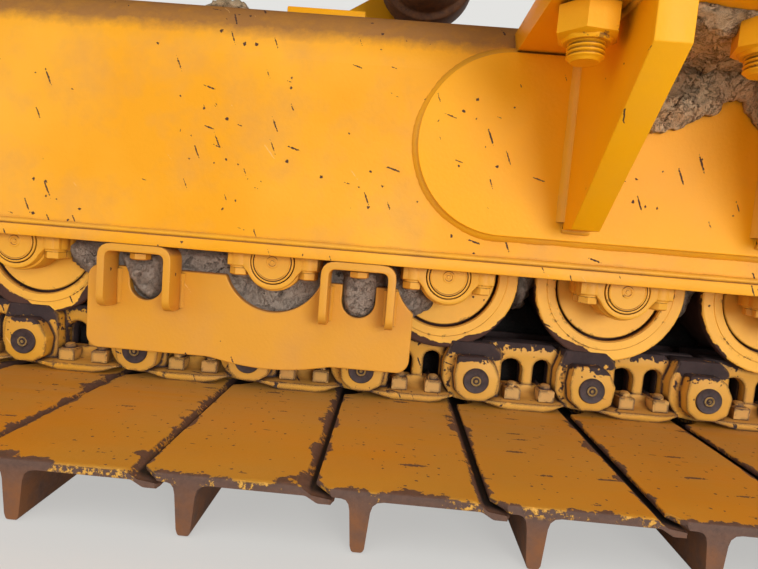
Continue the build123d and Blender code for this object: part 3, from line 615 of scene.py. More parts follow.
# Roller shaft ends and the cast saddles that clamp them under the frame, with their bolts. The
# shaft's end is a plain disc with a plug in its oil hole.
def rounded(corners, steps=3):
    """An outline's points, with each corner (x, z, radius) drawn as an arc of that radius."""
    points = []
    for k, (x, z, radius) in enumerate(corners):
        here = Vector((x, z))
        if radius == 0:
            points.append(here)
            continue
        back = Vector(corners[k - 1][:2]) - here
        ahead = Vector(corners[(k + 1) % len(corners)][:2]) - here
        reach = radius / math.tan(back.angle(ahead) / 2)
        start = here + back.normalized() * min(reach, 0.49 * back.length)
        stop = here + ahead.normalized() * min(reach, 0.49 * ahead.length)
        for j in range(steps + 1):
            t = j / steps
            points.append((1 - t) ** 2 * start + 2 * t * (1 - t) * here + t**2 * stop)
    return points


def plate(outlines, inner, outer, edge):
    """A plate between two distances outboard, from an outline and its holes, with rounded edges."""
    curve = bpy.data.curves.new("plate", "CURVE")
    curve.dimensions = "2D"
    curve.fill_mode = "BOTH"
    curve.extrude = (outer - inner) / 2 - edge
    curve.bevel_depth = edge
    curve.bevel_resolution = 1
    curve.offset = -edge
    for outline in outlines:
        spline = curve.splines.new("POLY")
        spline.points.add(len(outline) - 1)
        for point, (x, z) in zip(spline.points, outline):
            point.co = (x, z, 0, 1)
        spline.use_cyclic_u = True
    mesh = worked(new_object("plate", curve))
    shape = bmesh.new()
    shape.from_mesh(mesh)
    bpy.data.meshes.remove(mesh)
    bmesh.ops.remove_doubles(shape, verts=shape.verts, dist=1e-5)
    upright = Matrix.Translation((0, -(inner + outer) / 2, 0)) @ Matrix.Rotation(math.radians(90), 4, "X")
    bmesh.ops.transform(shape, matrix=upright, verts=shape.verts)
    bmesh.ops.recalc_face_normals(shape, faces=shape.faces)
    return shape


def arc(radius, start, stop, steps):
    """Points on a circle round the origin, between two angles in degrees."""
    angles = [math.radians(start + (stop - start) * k / steps) for k in range(steps + 1)]
    return [Vector((radius * math.cos(a), radius * math.sin(a))) for a in angles]


def shaft_groove_shade(add, ragged):
    """Painted shade: a black line in the groove round a shaft's end."""
    crevice_radius, crevice_half = 0.0339, 0.0009
    return add("Math", spot_of(add)[3], crevice_radius, crevice_half, operation="COMPARE")


seat_top, ear_low = 0.0126, -0.010


def saddle_section(half, ear, neck, neck_low, collar, span, bore):
    """A saddle's outline: two ears, and a collar round the lower half of the shaft."""
    left = [(-half, seat_top), (-half, ear), (-neck, neck_low)]
    right = [(-x, z) for x, z in reversed(left)]
    return left + arc(collar, 270 - span, 270 + span, 14) + right + arc(bore, 18, -198, 18)


ear_half, collar_outer, collar_inner = 0.081, 0.049, 0.0395
saddle_body = saddle_section(ear_half, ear_low, 0.054, ear_low, collar_outer, 64, collar_inner)
saddle_rib = saddle_section(
    ear_half - 0.006, 0.0, 0.060, -0.002, collar_outer + 0.004, 70, collar_inner + 0.001
)
saddle_inner, saddle_outer, saddle_bolt_x = 0.108, 0.178, 0.062
saddle = joined(
    plate([saddle_body], saddle_inner, saddle_outer, 0.003),
    plate([saddle_rib], saddle_inner + 0.012, saddle_outer - 0.014, 0.003)
)
knob_profile = [
    (0.0, ear_low - 0.001), (0.0205, ear_low - 0.001), (0.0225, ear_low + 0.001),
    (0.0225, seat_top - 0.001), (0.0, seat_top - 0.001)
]
saddle_bolts = []
for side in (-1, 1):
    for depth in (0.130, 0.158):
        at = Matrix.Translation((side * saddle_bolt_x, -depth, 0))
        head = hexagon(0.031, ear_low - 0.018, ear_low - 0.003, 0.002, turn=0.3)
        ring = disc(0.0185, ear_low - 0.004, ear_low + 0.002, 20)
        saddle_bolts += [(head, at), (ring, at), (turned(knob_profile, 24), at)]
mirrored = Matrix.Scale(-1, 4, (0, 1, 0))
outboard = joined(saddle, *saddle_bolts)
inboard = joined((outboard.copy(), mirrored))
saddle_places = [(x, 0.0, axle_height, 0.0) for x in roller_xs]
# Saddle enamel: rough cast faces under the same yellow, browned all over by the dust that clings
saddle_enamel = enamel("saddle_enamel", "EAA82C", "F0B240", dust=0.8, chipped=0.3, bare=0.2, film=0.6)
repeated(
    "saddles", joined(outboard, inboard), saddle_places, saddle_enamel, "yellow_paint", "roller_saddles",
    sharp=40
)
# Shaft enamel: the saddles' dusty yellow on a turned face, cut round by a black line of painted shade in
# its groove
shaft_enamel = enamel("shaft_enamel", "EAA82C", "F0B240", chipped=0.1, film=0.6, wear_and_shade_by=shaft_groove_shade)
half_shaft = [
    (0.0, 0.1798), (0.003, 0.1798), (0.0038, 0.1785), (0.0062, 0.1785), (0.0075, 0.1802), (0.0095, 0.1802),
    (0.011, 0.179), (0.03, 0.179), (0.0316, 0.1802), (0.0328, 0.1796), (0.0331, 0.1765), (0.0346, 0.1765),
    (0.0349, 0.1784), (0.0374, 0.1784), (0.038, 0.1775), (0.038, 0.0)
]
shaft = joined((turned(both_ways(half_shaft), 40), about_y))
repeated("roller_shaft_ends", shaft, saddle_places, shaft_enamel, "yellow_paint", "roller_shafts")


# Track shoes: rolled single-grouser plates, once painted with the machine. The grouser, the bent
# rear lip and every edge are worn to brown steel, with painted shadow on the lip's slope under the next
# shoe, and the paint has lifted in ragged patches.
def shoe_finish(name):
    """Dusty ochre paint over dark rolled steel, bare near the edges of each shoe."""
    finish, add, place = new_finish(name)
    x, across, z, _ = spot_of(add)
    ragged = add("TexNoise", {"Vector": place, "Scale": 17.0, "Detail": 9.0, "Roughness": 0.68})
    fine = add("TexNoise", {"Vector": place, "Scale": 120.0, "Detail": 6.0, "Roughness": 0.7})

    # Bare bands inwards from the front edge, the rear lip and both ends, each with its own reach
    bare = None
    for along, low, high, near, far, least, most in (
        (x, -0.029, 0.171, 0.44, 0.74, -0.002, 0.014), (x, 0.188, -0.012, 0.40, 0.72, 0.006, 0.046),
        (across, 0.508, 0.308, 0.44, 0.72, -0.002, 0.026)
    ):
        inside = add("MapRange", along, low, high, 0.0, 0.2)
        reach = add("MapRange", ragged, near, far, least, most)
        past = add("Math", reach, inside, operation="SUBTRACT")
        bare = add("Math", past, bare, operation="MAXIMUM") if bare else past
    jag = add("MapRange", fine, 0.0, 1.0, -0.005, 0.005)
    bare = add("MapRange", add("Math", bare, jag), 0.0, 0.0012)

    # The plate's lower edge and the grouser under it, where some paint is left at the top
    below = add("MapRange", z, -0.0535, -0.0550)
    left = add("MapRange", fine, 0.50, 0.53, 1.0, 0.0)
    below = add("Math", below, left, operation="MULTIPLY")
    deep = add("MapRange", z, -0.062, -0.068)
    below = add("Math", below, deep, operation="MAXIMUM")
    bare = add("Math", bare, below, operation="MAXIMUM")

    # Small chips and scratches on the flat
    flat = flat_place(add, place, add("NewGeometry", out="Normal"))
    cluster = patches(add, place, 8.0, 2.0, 0.40, 0.62, least=0.25)
    for cell, share, half_width, lean, drawn in (
        (0.015, 0.35, 0.0016, 0.0, 1.0), (0.017, 0.45, 0.0009, 1.50, 6.0), (0.026, 0.25, 0.0030, 1.62, 5.0)
    ):
        marks = flecks(add, flat, cluster, cell, share, half_width, lean, drawn)
        bare = add("Math", bare, marks, operation="MAXIMUM")

    # Paint faded in broad areas, streaked with dust near the chain and flaking at the ends' rims
    stretched = add("Mapping", {"Vector": place, "Scale": (5.0, 60.0, 5.0)})
    streak = patches(add, stretched, 1.0, 5.0, 0.3, 0.7)
    slow = patches(add, place, 5.0, 3.0, 0.35, 0.65)
    dusty = add("MapRange", across, 0.40, 0.14, 0.10, 0.55)
    dusty = add("Math", dusty, streak, operation="MULTIPLY")
    flakes = add("MapRange", across, 0.5065, 0.5075, 0.0, 0.9)
    flakes = add("Math", flakes, jag, operation="MULTIPLY")
    flakes = add("MapRange", flakes, 0.0, 0.002)
    paint = coated(add, linear("C98618"), (slow, "C08A2C"), (dusty, "BE9058"), (flakes, "F6C05C"))

    # Painted shadow: near-black on the lip's slope where one shoe laps over the next; brown rust low on the
    # grouser
    painted_gap_shadow = add("MapRange", x, 0.1770, 0.1800)
    for along, low, high in ((across, 0.500, 0.488), (z, -0.0722, -0.0712)):
        painted_gap_shadow = add("Math", painted_gap_shadow, add("MapRange", along, low, high), operation="MULTIPLY")
    rusty = add("MapRange", z, -0.058, -0.09)
    uneven = add("MapRange", ragged, 0.35, 0.6)
    rusty = add("Math", rusty, uneven, operation="MULTIPLY")
    steel_and_gap_shadow = coated(add, linear("30221F"), (fine, "7A5948"), (rusty, "7E4E2A"), (painted_gap_shadow, "150E0C"))
    # The painted shadow also joins the bared-steel mask
    bare = add("Math", bare, painted_gap_shadow, operation="MAXIMUM")
    rough = add("MapRange", bare, 0.0, 1.0, 0.52, 0.68)
    height = add("Math", bare, -1.6, fine, operation="MULTIPLY_ADD")
    return surfaced(finish, add, coated(add, paint, (bare, steel_and_gap_shadow)), rough, height, 0.5, 0.001)


pitch, run_pitches, wrapped_pitches, sprocket_teeth = 0.216, 17, 6, 27
link_turn = 4 * math.pi / sprocket_teeth
pin_circle = pitch / 2 / math.sin(link_turn / 2)
first_angle = (math.pi - wrapped_pitches * link_turn) / 2
half_base = (run_pitches * pitch) / 2 - pin_circle * math.sin(first_angle)
pin_height = 0.132
wheel_height = pin_height + pin_circle * math.cos(first_angle)
chain_places = []
for middle, start in ((half_base, 0.0), (-half_base, math.pi)):
    height = wheel_height - math.cos(start) * pin_circle * math.cos(first_angle)
    for step in range(run_pitches):
        along = math.cos(start) * pitch * (step - run_pitches / 2)
        chain_places.append((along, 0.0, height, -start))
    for step in range(wrapped_pitches):
        angle = start + first_angle + step * link_turn
        x = middle + pin_circle * math.sin(angle)
        z = wheel_height - pin_circle * math.cos(angle)
        chain_places.append((x, 0.0, z, -angle - link_turn / 2))

shoe_half, shoe_front, shoe_top, shoe_under = 0.508, -0.029, -0.052, -0.065
lip_end, lip_start, lip_under = 0.2125, -0.0645, -0.0742
shoe_corners = [
    (shoe_front, shoe_top, 0.002), (0.169, shoe_top, 0.013), (0.183, lip_start, 0.006),
    (0.208, -0.068, 0.006), (lip_end, -0.0705, 0.002), (0.209, lip_under, 0.003), (0.191, lip_under, 0.01),
    (0.176, shoe_under - 0.0005, 0.012), (0.042, shoe_under, 0.016), (0.037, -0.127, 0.002),
    (0.0345, -0.1318, 0.004), (0.0215, -0.1318, 0.004), (0.019, -0.124, 0.002), (0.014, shoe_under, 0.016),
    (-0.006, shoe_under + 0.0006, 0.01), (shoe_front, -0.0588, 0.0025)
]
front_chamfer, rear_chamfer = 0.019, 0.008
notch_low, notch_high, notch_depth = 0.046, 0.118, 0.034


def shoe_limits(y):
    """How far the plate reaches forward and back at this distance across it."""
    across = abs(y)
    front = shoe_front + max(0.0, across - (shoe_half - front_chamfer))
    rear = lip_end - 0.8 * max(0.0, across - (shoe_half - rear_chamfer))
    if notch_low < across < notch_high:
        t = (across - notch_low) / (notch_high - notch_low)
        front += notch_depth * min(1.0, 3.2 * min(t, 1 - t)) ** 0.6
    return front, rear


stations = [
    shoe_half, shoe_half - 0.002, shoe_half - 0.008, shoe_half - 0.019, 0.44, 0.34, 0.26, 0.18, notch_high,
    0.114, 0.106, 0.095, 0.070, 0.058, 0.050, notch_low
]
stations = [-y for y in stations] + stations[::-1]
shoe_middle, end_ease = (shoe_top + shoe_under) / 2, 0.0012
shoe_points = rounded(shoe_corners)
shoe = bmesh.new()
shoe_rings = []
for y in stations:
    front, rear = shoe_limits(y)
    ease = end_ease if abs(y) == shoe_half else 0.0
    eased = [(x, z + (ease if z < shoe_middle else -ease)) for x, z in shoe_points]
    shoe_rings.append([shoe.verts.new((min(max(x, front), rear), y, z)) for x, z in eased])
skinned(shoe, shoe_rings, shoe_rings[0], shoe_rings[-1][::-1])
bmesh.ops.remove_doubles(shoe, verts=shoe.verts, dist=1e-5)
bmesh.ops.dissolve_degenerate(shoe, edges=shoe.edges, dist=1e-5)
bmesh.ops.recalc_face_normals(shoe, faces=shoe.faces)
# Shoe paint: ochre in the middle of each plate, with brown edges that make every shoe stand apart
shoe_paint = shoe_finish("worn_shoe_paint")
repeated("shoes", shoe, chain_places, shoe_paint, "bare_track", "track", sharp=38)


# Track links: forged links with two arched windows for the bolts, a raised boss round each pin, and
# a flared foot that sits on the shoe. The rail on top and the boss's crown are worn to dark steel.
def link_wear_and_shade(add, ragged):
    """Dark steel on the rail's top and upper side and on the boss's crown, and painted shade inside the
    links.
    """
    x, across, z, _ = spot_of(add)
    fine = add("TexNoise", {"Vector": add("TexCoord", out="Object"), "Scale": 130.0, "Detail": 4.0})
    wander = add("Math", ragged, 0.045, z, operation="MULTIPLY_ADD")
    wander = add("Math", fine, 0.040, wander, operation="MULTIPLY_ADD")
    rail = add("MapRange", wander, 0.1000, 0.1008)
    outside = add("MapRange", across, 0.099, 0.105)
    crown = add("MapRange", wander, 0.0800, 0.0808)
    crown = add("Math", crown, outside, operation="MULTIPLY")
    flank = add("Math", x, -0.004)
    flank = add("Math", flank, operation="ABSOLUTE")
    flank = add("Math", fine, 0.022, flank, operation="MULTIPLY_ADD")
    flank = add("Math", flank, 0.0625, 0.0035, operation="COMPARE")
    flank = add("Math", flank, ragged, operation="MULTIPLY")
    flank = add("MapRange", flank, 0.48, 0.54)
    # The links' inner faces, between the rails, are painted dark as shade
    worn = rail
    for share in (crown, flank, add("MapRange", across, 0.060, 0.055)):
        worn = add("Math", worn, share, operation="MAXIMUM")
    return worn


def arch(left, right, low, top):
    """A window's outline: square foot with rounded corners and a half-round head."""
    radius = (right - left) / 2
    middle = (left + right) / 2
    foot = rounded([(right, top - radius, 0), (left, top - radius, 0), (left, low, 0.008)])[1:]
    foot += rounded([(left, low, 0), (right, low, 0.008), (right, top - radius, 0)])[1:-1]
    return foot + [Vector((middle + p.x, top - radius + p.y)) for p in arc(radius, 0, 180, 8)[:-1]]


rail_inner, rail_split, rail_outer, eye_face, boss_face = 0.034, 0.0572, 0.080, 0.105, 0.131
rail_top = 0.070
windows = [arch(0.053, 0.096, -0.034, 0.037), arch(0.118, 0.151, -0.032, 0.039)]
far_eye = [
    (0.020, -0.046, 0), (0.190, -0.046, 0.02), (0.236, -0.034, 0.03), (0.251, 0.0, 0.04),
    (0.242, 0.040, 0.03), (0.216, rail_top, 0.006), (0.020, rail_top, 0.004)
]
web = [
    (0.012, -0.048, 0), (0.160, -0.048, 0.012), (0.176, 0.020, 0.03), (0.166, 0.058, 0.02),
    (0.150, rail_top, 0.004), (0.012, rail_top, 0.004)
]
near_eye = [
    (-0.048, 0.068, 0.003), (-0.062, 0.026, 0.03), (-0.061, -0.014, 0.03), (-0.040, -0.044, 0.02),
    (-0.004, -0.049, 0.02), (0.046, -0.048, 0.01), (0.052, -0.020, 0.01), (0.050, 0.052, 0.014),
    (0.030, 0.068, 0.008)
]
boss = [
    (-0.037, 0.044, 0.006), (-0.041, 0.008, 0.02), (-0.036, -0.024, 0.014), (-0.016, -0.039, 0.012),
    (0.018, -0.039, 0.012), (0.040, -0.026, 0.012), (0.045, 0.008, 0.012), (0.032, 0.034, 0.012),
    (0.016, 0.045, 0.008)
]
link = joined(
    plate([rounded(far_eye)] + windows, rail_inner, rail_split, 0.003),
    plate([rounded(web)] + windows, rail_split, rail_outer, 0.005),
    plate([rounded(near_eye)], rail_split, eye_face, 0.005),
    plate([rounded(boss)], eye_face - 0.006, boss_face, 0.004)
)

# The foot: sections across it, each from its place along the link, its lowest point and its reach
foot = bmesh.new()
foot_rings = []
for x, low, reach in (
    (-0.022, -0.036, 0.104), (-0.005, -0.037, 0.116), (0.018, -0.040, 0.122), (0.044, -0.048, 0.126),
    (0.066, -0.0518, 0.127), (0.100, -0.0518, 0.126), (0.132, -0.0518, 0.126), (0.152, -0.048, 0.122),
    (0.170, -0.041, 0.114), (0.184, -0.038, 0.100)
):
    section = [
        (0.060, low), (0.060, -0.012), (0.0805, -0.012), (0.083, -0.024), (0.090, -0.031), (0.100, -0.034),
        (reach - 0.008, -0.035), (reach - 0.001, -0.038), (reach, min(-0.041, low + 0.004)),
        (reach - 0.002, low)
    ]
    foot_rings.append([foot.verts.new((x, -across, z)) for across, z in section])
skinned(foot, foot_rings, foot_rings[0], foot_rings[-1][::-1])
bmesh.ops.recalc_face_normals(foot, faces=foot.faces)
link = joined(link, foot)
# Link enamel: dull ochre broken by many dark chips, black-brown steel where metal slides, and painted
# shade on the links' inner faces and in their corners
link_enamel = enamel(
    "link_enamel", "D69A2E", "DEA646", dust=0.5, chipped=2.0, bare=1.15, film=0.5, grime_and_shade=1.0, dark=True,
    wear_and_shade_by=link_wear_and_shade
)
repeated(
    "links_inner", joined((link.copy(), mirrored)), chain_places, link_enamel, "bare_track", "track",
    sharp=40
)
repeated("links_outer", link, chain_places, link_enamel, "bare_track", "track", sharp=40)


# Pins and bushings: turned steel, dark with old grease and rust. A pin's end stands just proud of
# its boss, with a plugged oil hole; the bushing between the rails meets the sprocket's teeth.
def dark_steel(name, dark, light, rough=0.55, metallic=0.6):
    """Turned or rolled steel under a thin brown skin of rust and old grease."""
    finish, add, place = new_finish(name)
    fine = add("TexNoise", {"Vector": place, "Scale": 90.0, "Detail": 7.0, "Roughness": 0.7})
    colour = coated(add, linear(dark), (add("MapRange", fine, 0.3, 0.7), light))
    gloss = add("MapRange", fine, 0.0, 1.0, rough - 0.15, rough + 0.2)
    return surfaced(finish, add, colour, gloss, fine, 0.5, 0.0008, {"Metallic": metallic})


half_pin = [
    (0.0, 0.1358), (0.0035, 0.1358), (0.0045, 0.134), (0.007, 0.134), (0.0078, 0.1352), (0.01, 0.1352),
    (0.0112, 0.1338), (0.019, 0.1338), (0.0225, 0.1345), (0.024, 0.133), (0.024, 0.07), (0.024, 0.0)
]
half_bushing = [(0.0, 0.036), (0.0365, 0.036), (0.037, 0.034), (0.037, 0.0)]
# Pin steel: nearly black brown with a greasy half-gloss, the darkest spot on every link
pin_steel = dark_steel("pin_steel", "1A1214", "4E3B38", metallic=0.2)
pins = joined(*[(turned(both_ways(half), 28), about_y) for half in (half_pin, half_bushing)])
repeated("pins_and_bushings", pins, chain_places, pin_steel, "bare_track", "track")

# Shoe bolts: square nuts on the feet of the links, two to each foot, with the bolt's rounded end
# standing out of each. They were painted with the chain and have worn and rusted with it.
nut_xs, nut_across = (0.074, 0.138), 0.100
nut_low_z, nut_high_z = -0.0356, -0.0110
bolt_end = [
    (0.0, nut_high_z + 0.0095), (0.0065, nut_high_z + 0.0088), (0.0098, nut_high_z + 0.006),
    (0.0105, nut_high_z - 0.004), (0.0, nut_high_z - 0.004)
]
shoe_nuts = []
for x in nut_xs:
    for side in (-1, 1):
        at = Matrix.Translation((x, side * nut_across, 0))
        nut = hexagon(0.030, nut_low_z, nut_high_z, 0.0022, sides=4, turn=math.radians(47))
        shoe_nuts += [(nut, at), (turned(bolt_end, 16), at)]
# Nut enamel: tan where dust has caked over the paint, with dark steel on all the corners and grime
# with painted shade where it meets the foot
nut_enamel = enamel(
    "nut_enamel", "CC9A48", "C89C5A", dust=0.3, chipped=0.6, bare=1.0, film=0.7, grime_and_shade=1.0, dark=True
)
repeated("shoe_bolts", joined(*shoe_nuts), chain_places, nut_enamel, "bolt_steel", "track", sharp=40)


# Pin plugs: pale rubber plugs in the pins' oil holes, each in a shallow ring of dust. They are
# pressed in flush, and the clay of the ground has dried on them.
def dried_mud(name, dark, light, folds=0.0):
    """Clay that dried in place: matt, grainy and cracked, with painted shade in its folds' creases by a
    share.
    """
    finish, add, place = new_finish(name)
    broad = add("TexNoise", {"Vector": place, "Scale": 22.0, "Detail": 9.0, "Roughness": 0.68})
    grain = add("TexNoise", {"Vector": place, "Scale": 240.0, "Detail": 5.0, "Roughness": 0.75})
    bent = add("VectorMath", place, broad, operation="ADD")
    cracks = add("TexVoronoi", {"Vector": bent, "Scale": 13.0}, out="Distance", feature="DISTANCE_TO_EDGE")
    crack = add("MapRange", cracks, 0.026, 0.006)
    tone = add("MapRange", broad, 0.3, 0.7)
    speck = add("MapRange", grain, 0.55, 0.8, 0.0, 0.5)
    # Painted shade: darker brown in the creases of the folds, by the given share
    folded = add(
        "TexNoise", {"Vector": place, "Scale": 30.0, "Detail": 9.0, "Roughness": 0.70, "Distortion": 0.6}
    )
    folded = add("Math", folded, 0.5, operation="SUBTRACT")
    folded = add("Math", folded, operation="ABSOLUTE")
    crease = add("MapRange", folded, 0.016, 0.0, 0.0, folds)
    colour = coated(
        add, linear(dark), (tone, light), (speck, "5B5348"), (crack, "2E2620"), (crease, "5C442E")
    )
    height = grain
    for share, depth in ((broad, 2.5), (crack, -3.0), (crease, -2.2)):
        height = add("Math", share, depth, height, operation="MULTIPLY_ADD")
    return surfaced(finish, add, colour, 0.95, height, 1.0, 0.004)


plug_profile = [(0.0, 0.1362), (0.003, 0.136), (0.0036, 0.1345), (0.0, 0.1345)]
plug_ring = [
    (0.0, 0.1335), (0.0062, 0.1337), (0.0062, 0.135), (0.007, 0.1356), (0.009, 0.1356), (0.0098, 0.1348),
    (0.0098, 0.1335), (0.0, 0.133)
]
plug = joined((turned(plug_profile, 14), about_y), (turned(plug_ring, 20), about_y))
plug = joined(plug.copy(), (plug, mirrored))
# Plug dust: a matt sandy dot that marks the middle of each dark pin
plug_dust = dried_mud("plug_dust", "9A7A42", "C09A58")
repeated("pin_plugs", plug, chain_places, plug_dust, "bare_track", "track")


# Wheels at the ends: the cast idler and the sprocket, painted on their webs and bare where the
# chain runs, with their shafts, the recoil rod and the two carrier rollers.

# Wheel enamel: an older and darker yellow than the frame's, gone on every rim
wheel_enamel = enamel("wheel_enamel", "CC8A1E", "D8962C", dust=0.6, chipped=0.9, bare=0.9)
dressed("idler", wheel_enamel, "yellow_paint", edge=0.004)
# Sprocket steel: warm brown with a dull sheen, as teeth look under a day's new rust
sprocket_steel = dark_steel("sprocket_steel", "4A3A32", "8A6A50", metallic=0.45)
dressed("sprocket", sprocket_steel, "bare_track", edge=0.003)
# Plain steel: grey and half bright, the only clean metal on the unit
plain_steel = dark_steel("plain_steel", "5A5048", "8C8378", rough=0.45, metallic=0.8)
for solid in ("idler_shaft", "recoil_unit", "carrier_shafts"):
    dressed(solid, plain_steel, "worn_steel", edge=0.002)
# Rusty steel: matt red-brown, without any paint left
rusty_steel = dark_steel("rusty_steel", "3A2418", "7A4E2C", rough=0.7, metallic=0.1)
dressed("carrier_rollers", rusty_steel, "yellow_paint", edge=0.003)


# Wheel fasteners: hexagon bolts through the hub's flange and the sprocket's web, with nuts inboard,
# and shorter ones that hold the bearing's cap to the fork, painted over with what they hold.
def bolt_ring(radius, count, start=0.0):
    """Places on a circle round the sprocket's axle."""
    turns = [start + 2 * math.pi * k / count for k in range(count)]
    return [(half_base + radius * math.cos(a), 0.0, wheel_height + radius * math.sin(a), a) for a in turns]


outboard_end = Matrix.Rotation(math.radians(90), 4, "X")
hub_face, web_face, cap_slope = 0.0530, 0.0270, 0.2260
bolt_head = hexagon(0.036, hub_face + 0.0035, hub_face + 0.019, 0.002)
bolt_nut = hexagon(0.036, web_face + 0.0002, web_face + 0.022, 0.002)
tip_profile = [
    (0.0, web_face + 0.020), (0.0118, web_face + 0.020), (0.0118, web_face + 0.030),
    (0.0100, web_face + 0.032), (0.0, web_face + 0.032)
]
flange_bolt = joined(
    (bolt_head, outboard_end), (disc(0.0205, hub_face, hub_face + 0.004), outboard_end),
    (bolt_nut, about_y), (turned(tip_profile, 20), about_y)
)
repeated("flange_bolts", flange_bolt, bolt_ring(0.236, 16), bolt_enamel, "bolt_steel", sharp=40)
cap_head = hexagon(0.030, cap_slope + 0.004, cap_slope + 0.019, 0.002)
cap_bolt = joined(
    (cap_head, outboard_end), (disc(0.0180, cap_slope - 0.022, cap_slope + 0.0045), outboard_end)
)
repeated("cap_bolts", cap_bolt, bolt_ring(0.126, 8, start=0.4), bolt_enamel, "bolt_steel", sharp=40)


# Guard straps: flat bar bent to a U and welded by its feet to the guard's face, its bridge bolted
# up into the frame's flange by one hexagon head. They share the guards' enamel.
strap_low, strap_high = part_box("guard_straps")
strap_face, strap_half, strap_bar, strap_turn = 0.159, 0.065, 0.014, 0.024
strap_in = strap_half - strap_bar
levels = [strap_low.z + rise for rise in (0.002, 0.005, 0.009, 0.014, 0.019, strap_turn)]
strap_outline = [(-strap_half, strap_low.z, 0.002), *[(-strap_half, z, 0) for z in levels]]
strap_outline += [(-strap_half, strap_high.z, 0.026), (strap_half, strap_high.z, 0.026)]
strap_outline += [*[(strap_half, z, 0) for z in levels[::-1]], (strap_half, strap_low.z, 0.002)]
strap_outline += [(strap_in, strap_low.z, 0.002), *[(strap_in, z, 0) for z in levels]]
strap_outline += [(x, strap_high.z - strap_bar, 0.012) for x in (strap_in, -strap_in)]
strap_outline += [*[(-strap_in, z, 0) for z in levels[::-1]], (-strap_in, strap_low.z, 0.002)]
strap = plate([rounded(strap_outline, 5)], strap_face, -strap_low.y, 0.0025)
for vertex in strap.verts:
    short = max(0.0, strap_turn - (vertex.co.z - strap_low.z))
    reach = -strap_low.y - strap_turn + math.sqrt(max(0.0, strap_turn**2 - short**2))
    vertex.co.y = max(vertex.co.y, -max(reach, strap_face + 0.006))
guard_top = 0.290
for side in (-1, 1):
    for x in (strap_half - 0.001, strap_in + 0.001):
        foot_seam = [(side * x, -strap_face + 0.002, z) for z in (strap_low.z + 0.003, guard_top)]
        weld_run(strap, foot_seam, 0.0075, step=0.008)
bmesh.ops.recalc_face_normals(strap, faces=strap.faces)
head_high = strap_high.z - strap_bar - 0.0002
strap_bolt = hexagon(0.030, head_high - 0.013, head_high, 0.002, turn=0.4)
strap = joined(strap, (strap_bolt, Matrix.Translation((0, -0.186, 0))))
strap = joined(strap.copy(), (strap, mirrored))
strap_xs = [
    roller_middle, (roller_xs[4] + roller_xs[5]) / 2, (roller_xs[1] + roller_xs[2]) / 2,
    (roller_xs[2] + roller_xs[3]) / 2, roller_xs[7] + roller_spacing / 2
]
strap_places = [(x, 0.0, 0.0, 0.0) for x in strap_xs]
repeated("straps", strap, strap_places, guard_enamel, "yellow_paint", "guard_straps", sharp=40)


# Packed mud: grey-brown clay thrown up by the chain and packed between the rollers, behind the
# guard and up under the bracket's shelf. It has set hard, with fine cracks and crumbling edges.
def against_outline(x, z, outline):
    """Whether a point lies inside an outline, and the point of the outline that is nearest to it."""
    within = False
    nearest = Vector((x + 1.0, z))
    here = Vector((x, z))
    for (ax, az), (bx, bz) in zip(outline, outline[1:] + outline[:1]):
        if (az > z) != (bz > z) and x < (bx - ax) * (z - az) / (bz - az) + ax:
            within = not within
        side = Vector((bx - ax, bz - az))
        t = max(0.0, min(1.0, side.dot(Vector((x - ax, z - az))) / side.length_squared))
        point = Vector((ax, az)) + side * t
        if (point - here).length < (nearest - here).length:
            nearest = point
    return within, nearest


def mud_slab(shape, outline, inner, outer, cell=0.004, lump=0.010, taper=0.016):
    """Add a slab of mud in an upright outline of (x, z), from one distance outboard to another.

    Its face is lumpy, and its border crumbles by offsets that the noise's seed fixes.
    """
    low_x = min(x for x, z in outline)
    low_z = min(z for x, z in outline)
    columns = int((max(x for x, z in outline) - low_x) / cell) + 2
    rows = int((max(z for x, z in outline) - low_z) / cell) + 2
    grid, border = {}, {}
    for i in range(columns):
        for j in range(rows):
            x, z = low_x + (i - 0.5) * cell, low_z + (j - 0.5) * cell
            within, nearest = against_outline(x, z, outline)
            if not within:
                continue
            depth = (nearest - Vector((x, z))).length
            rise = math.sqrt(min(1.0, depth / taper + 0.04))
            here = Vector((x, outer, z))
            crease = 0.7 * abs(noise.noise(here * 34.0)) + 0.35 * abs(noise.noise(here * 78.0))
            bulge = lump * (0.3 + noise.noise(here * 19.0) + 0.3 * noise.noise(here * 62.0) - crease)
            across = inner + (outer - inner + bulge) * rise
            grid[i, j] = (
                shape.verts.new((x, -max(across, inner + 0.002), z)), shape.verts.new((x, -inner, z))
            )
            shaken = noise.noise_vector(here * 60.0) + 0.8 * noise.noise_vector(here * 140.0)
            border[i, j] = nearest + Vector((shaken.x, shaken.z)) * 0.16 * taper

    # Faces where a whole square of the grid is mud; its sides that no other square shares get walls
    sides = {}
    for i, j in list(grid):
        square = [(i, j), (i + 1, j), (i + 1, j + 1), (i, j + 1)]
        if all(key in grid for key in square):
            shape.faces.new([grid[key][0] for key in square])
            shape.faces.new([grid[key][1] for key in reversed(square)])
            for start, stop in zip(square, square[1:] + square[:1]):
                if (stop, start) in sides:
                    del sides[stop, start]
                else:
                    sides[start, stop] = True
    for start, stop in sides:
        shape.faces.new((grid[stop][0], grid[start][0], grid[start][1], grid[stop][1]))
        for vertex in grid[start]:
            vertex.co.x, vertex.co.z = border[start]
    loose = [v for v in shape.verts if not v.link_faces]
    bmesh.ops.delete(shape, geom=loose, context="VERTS")


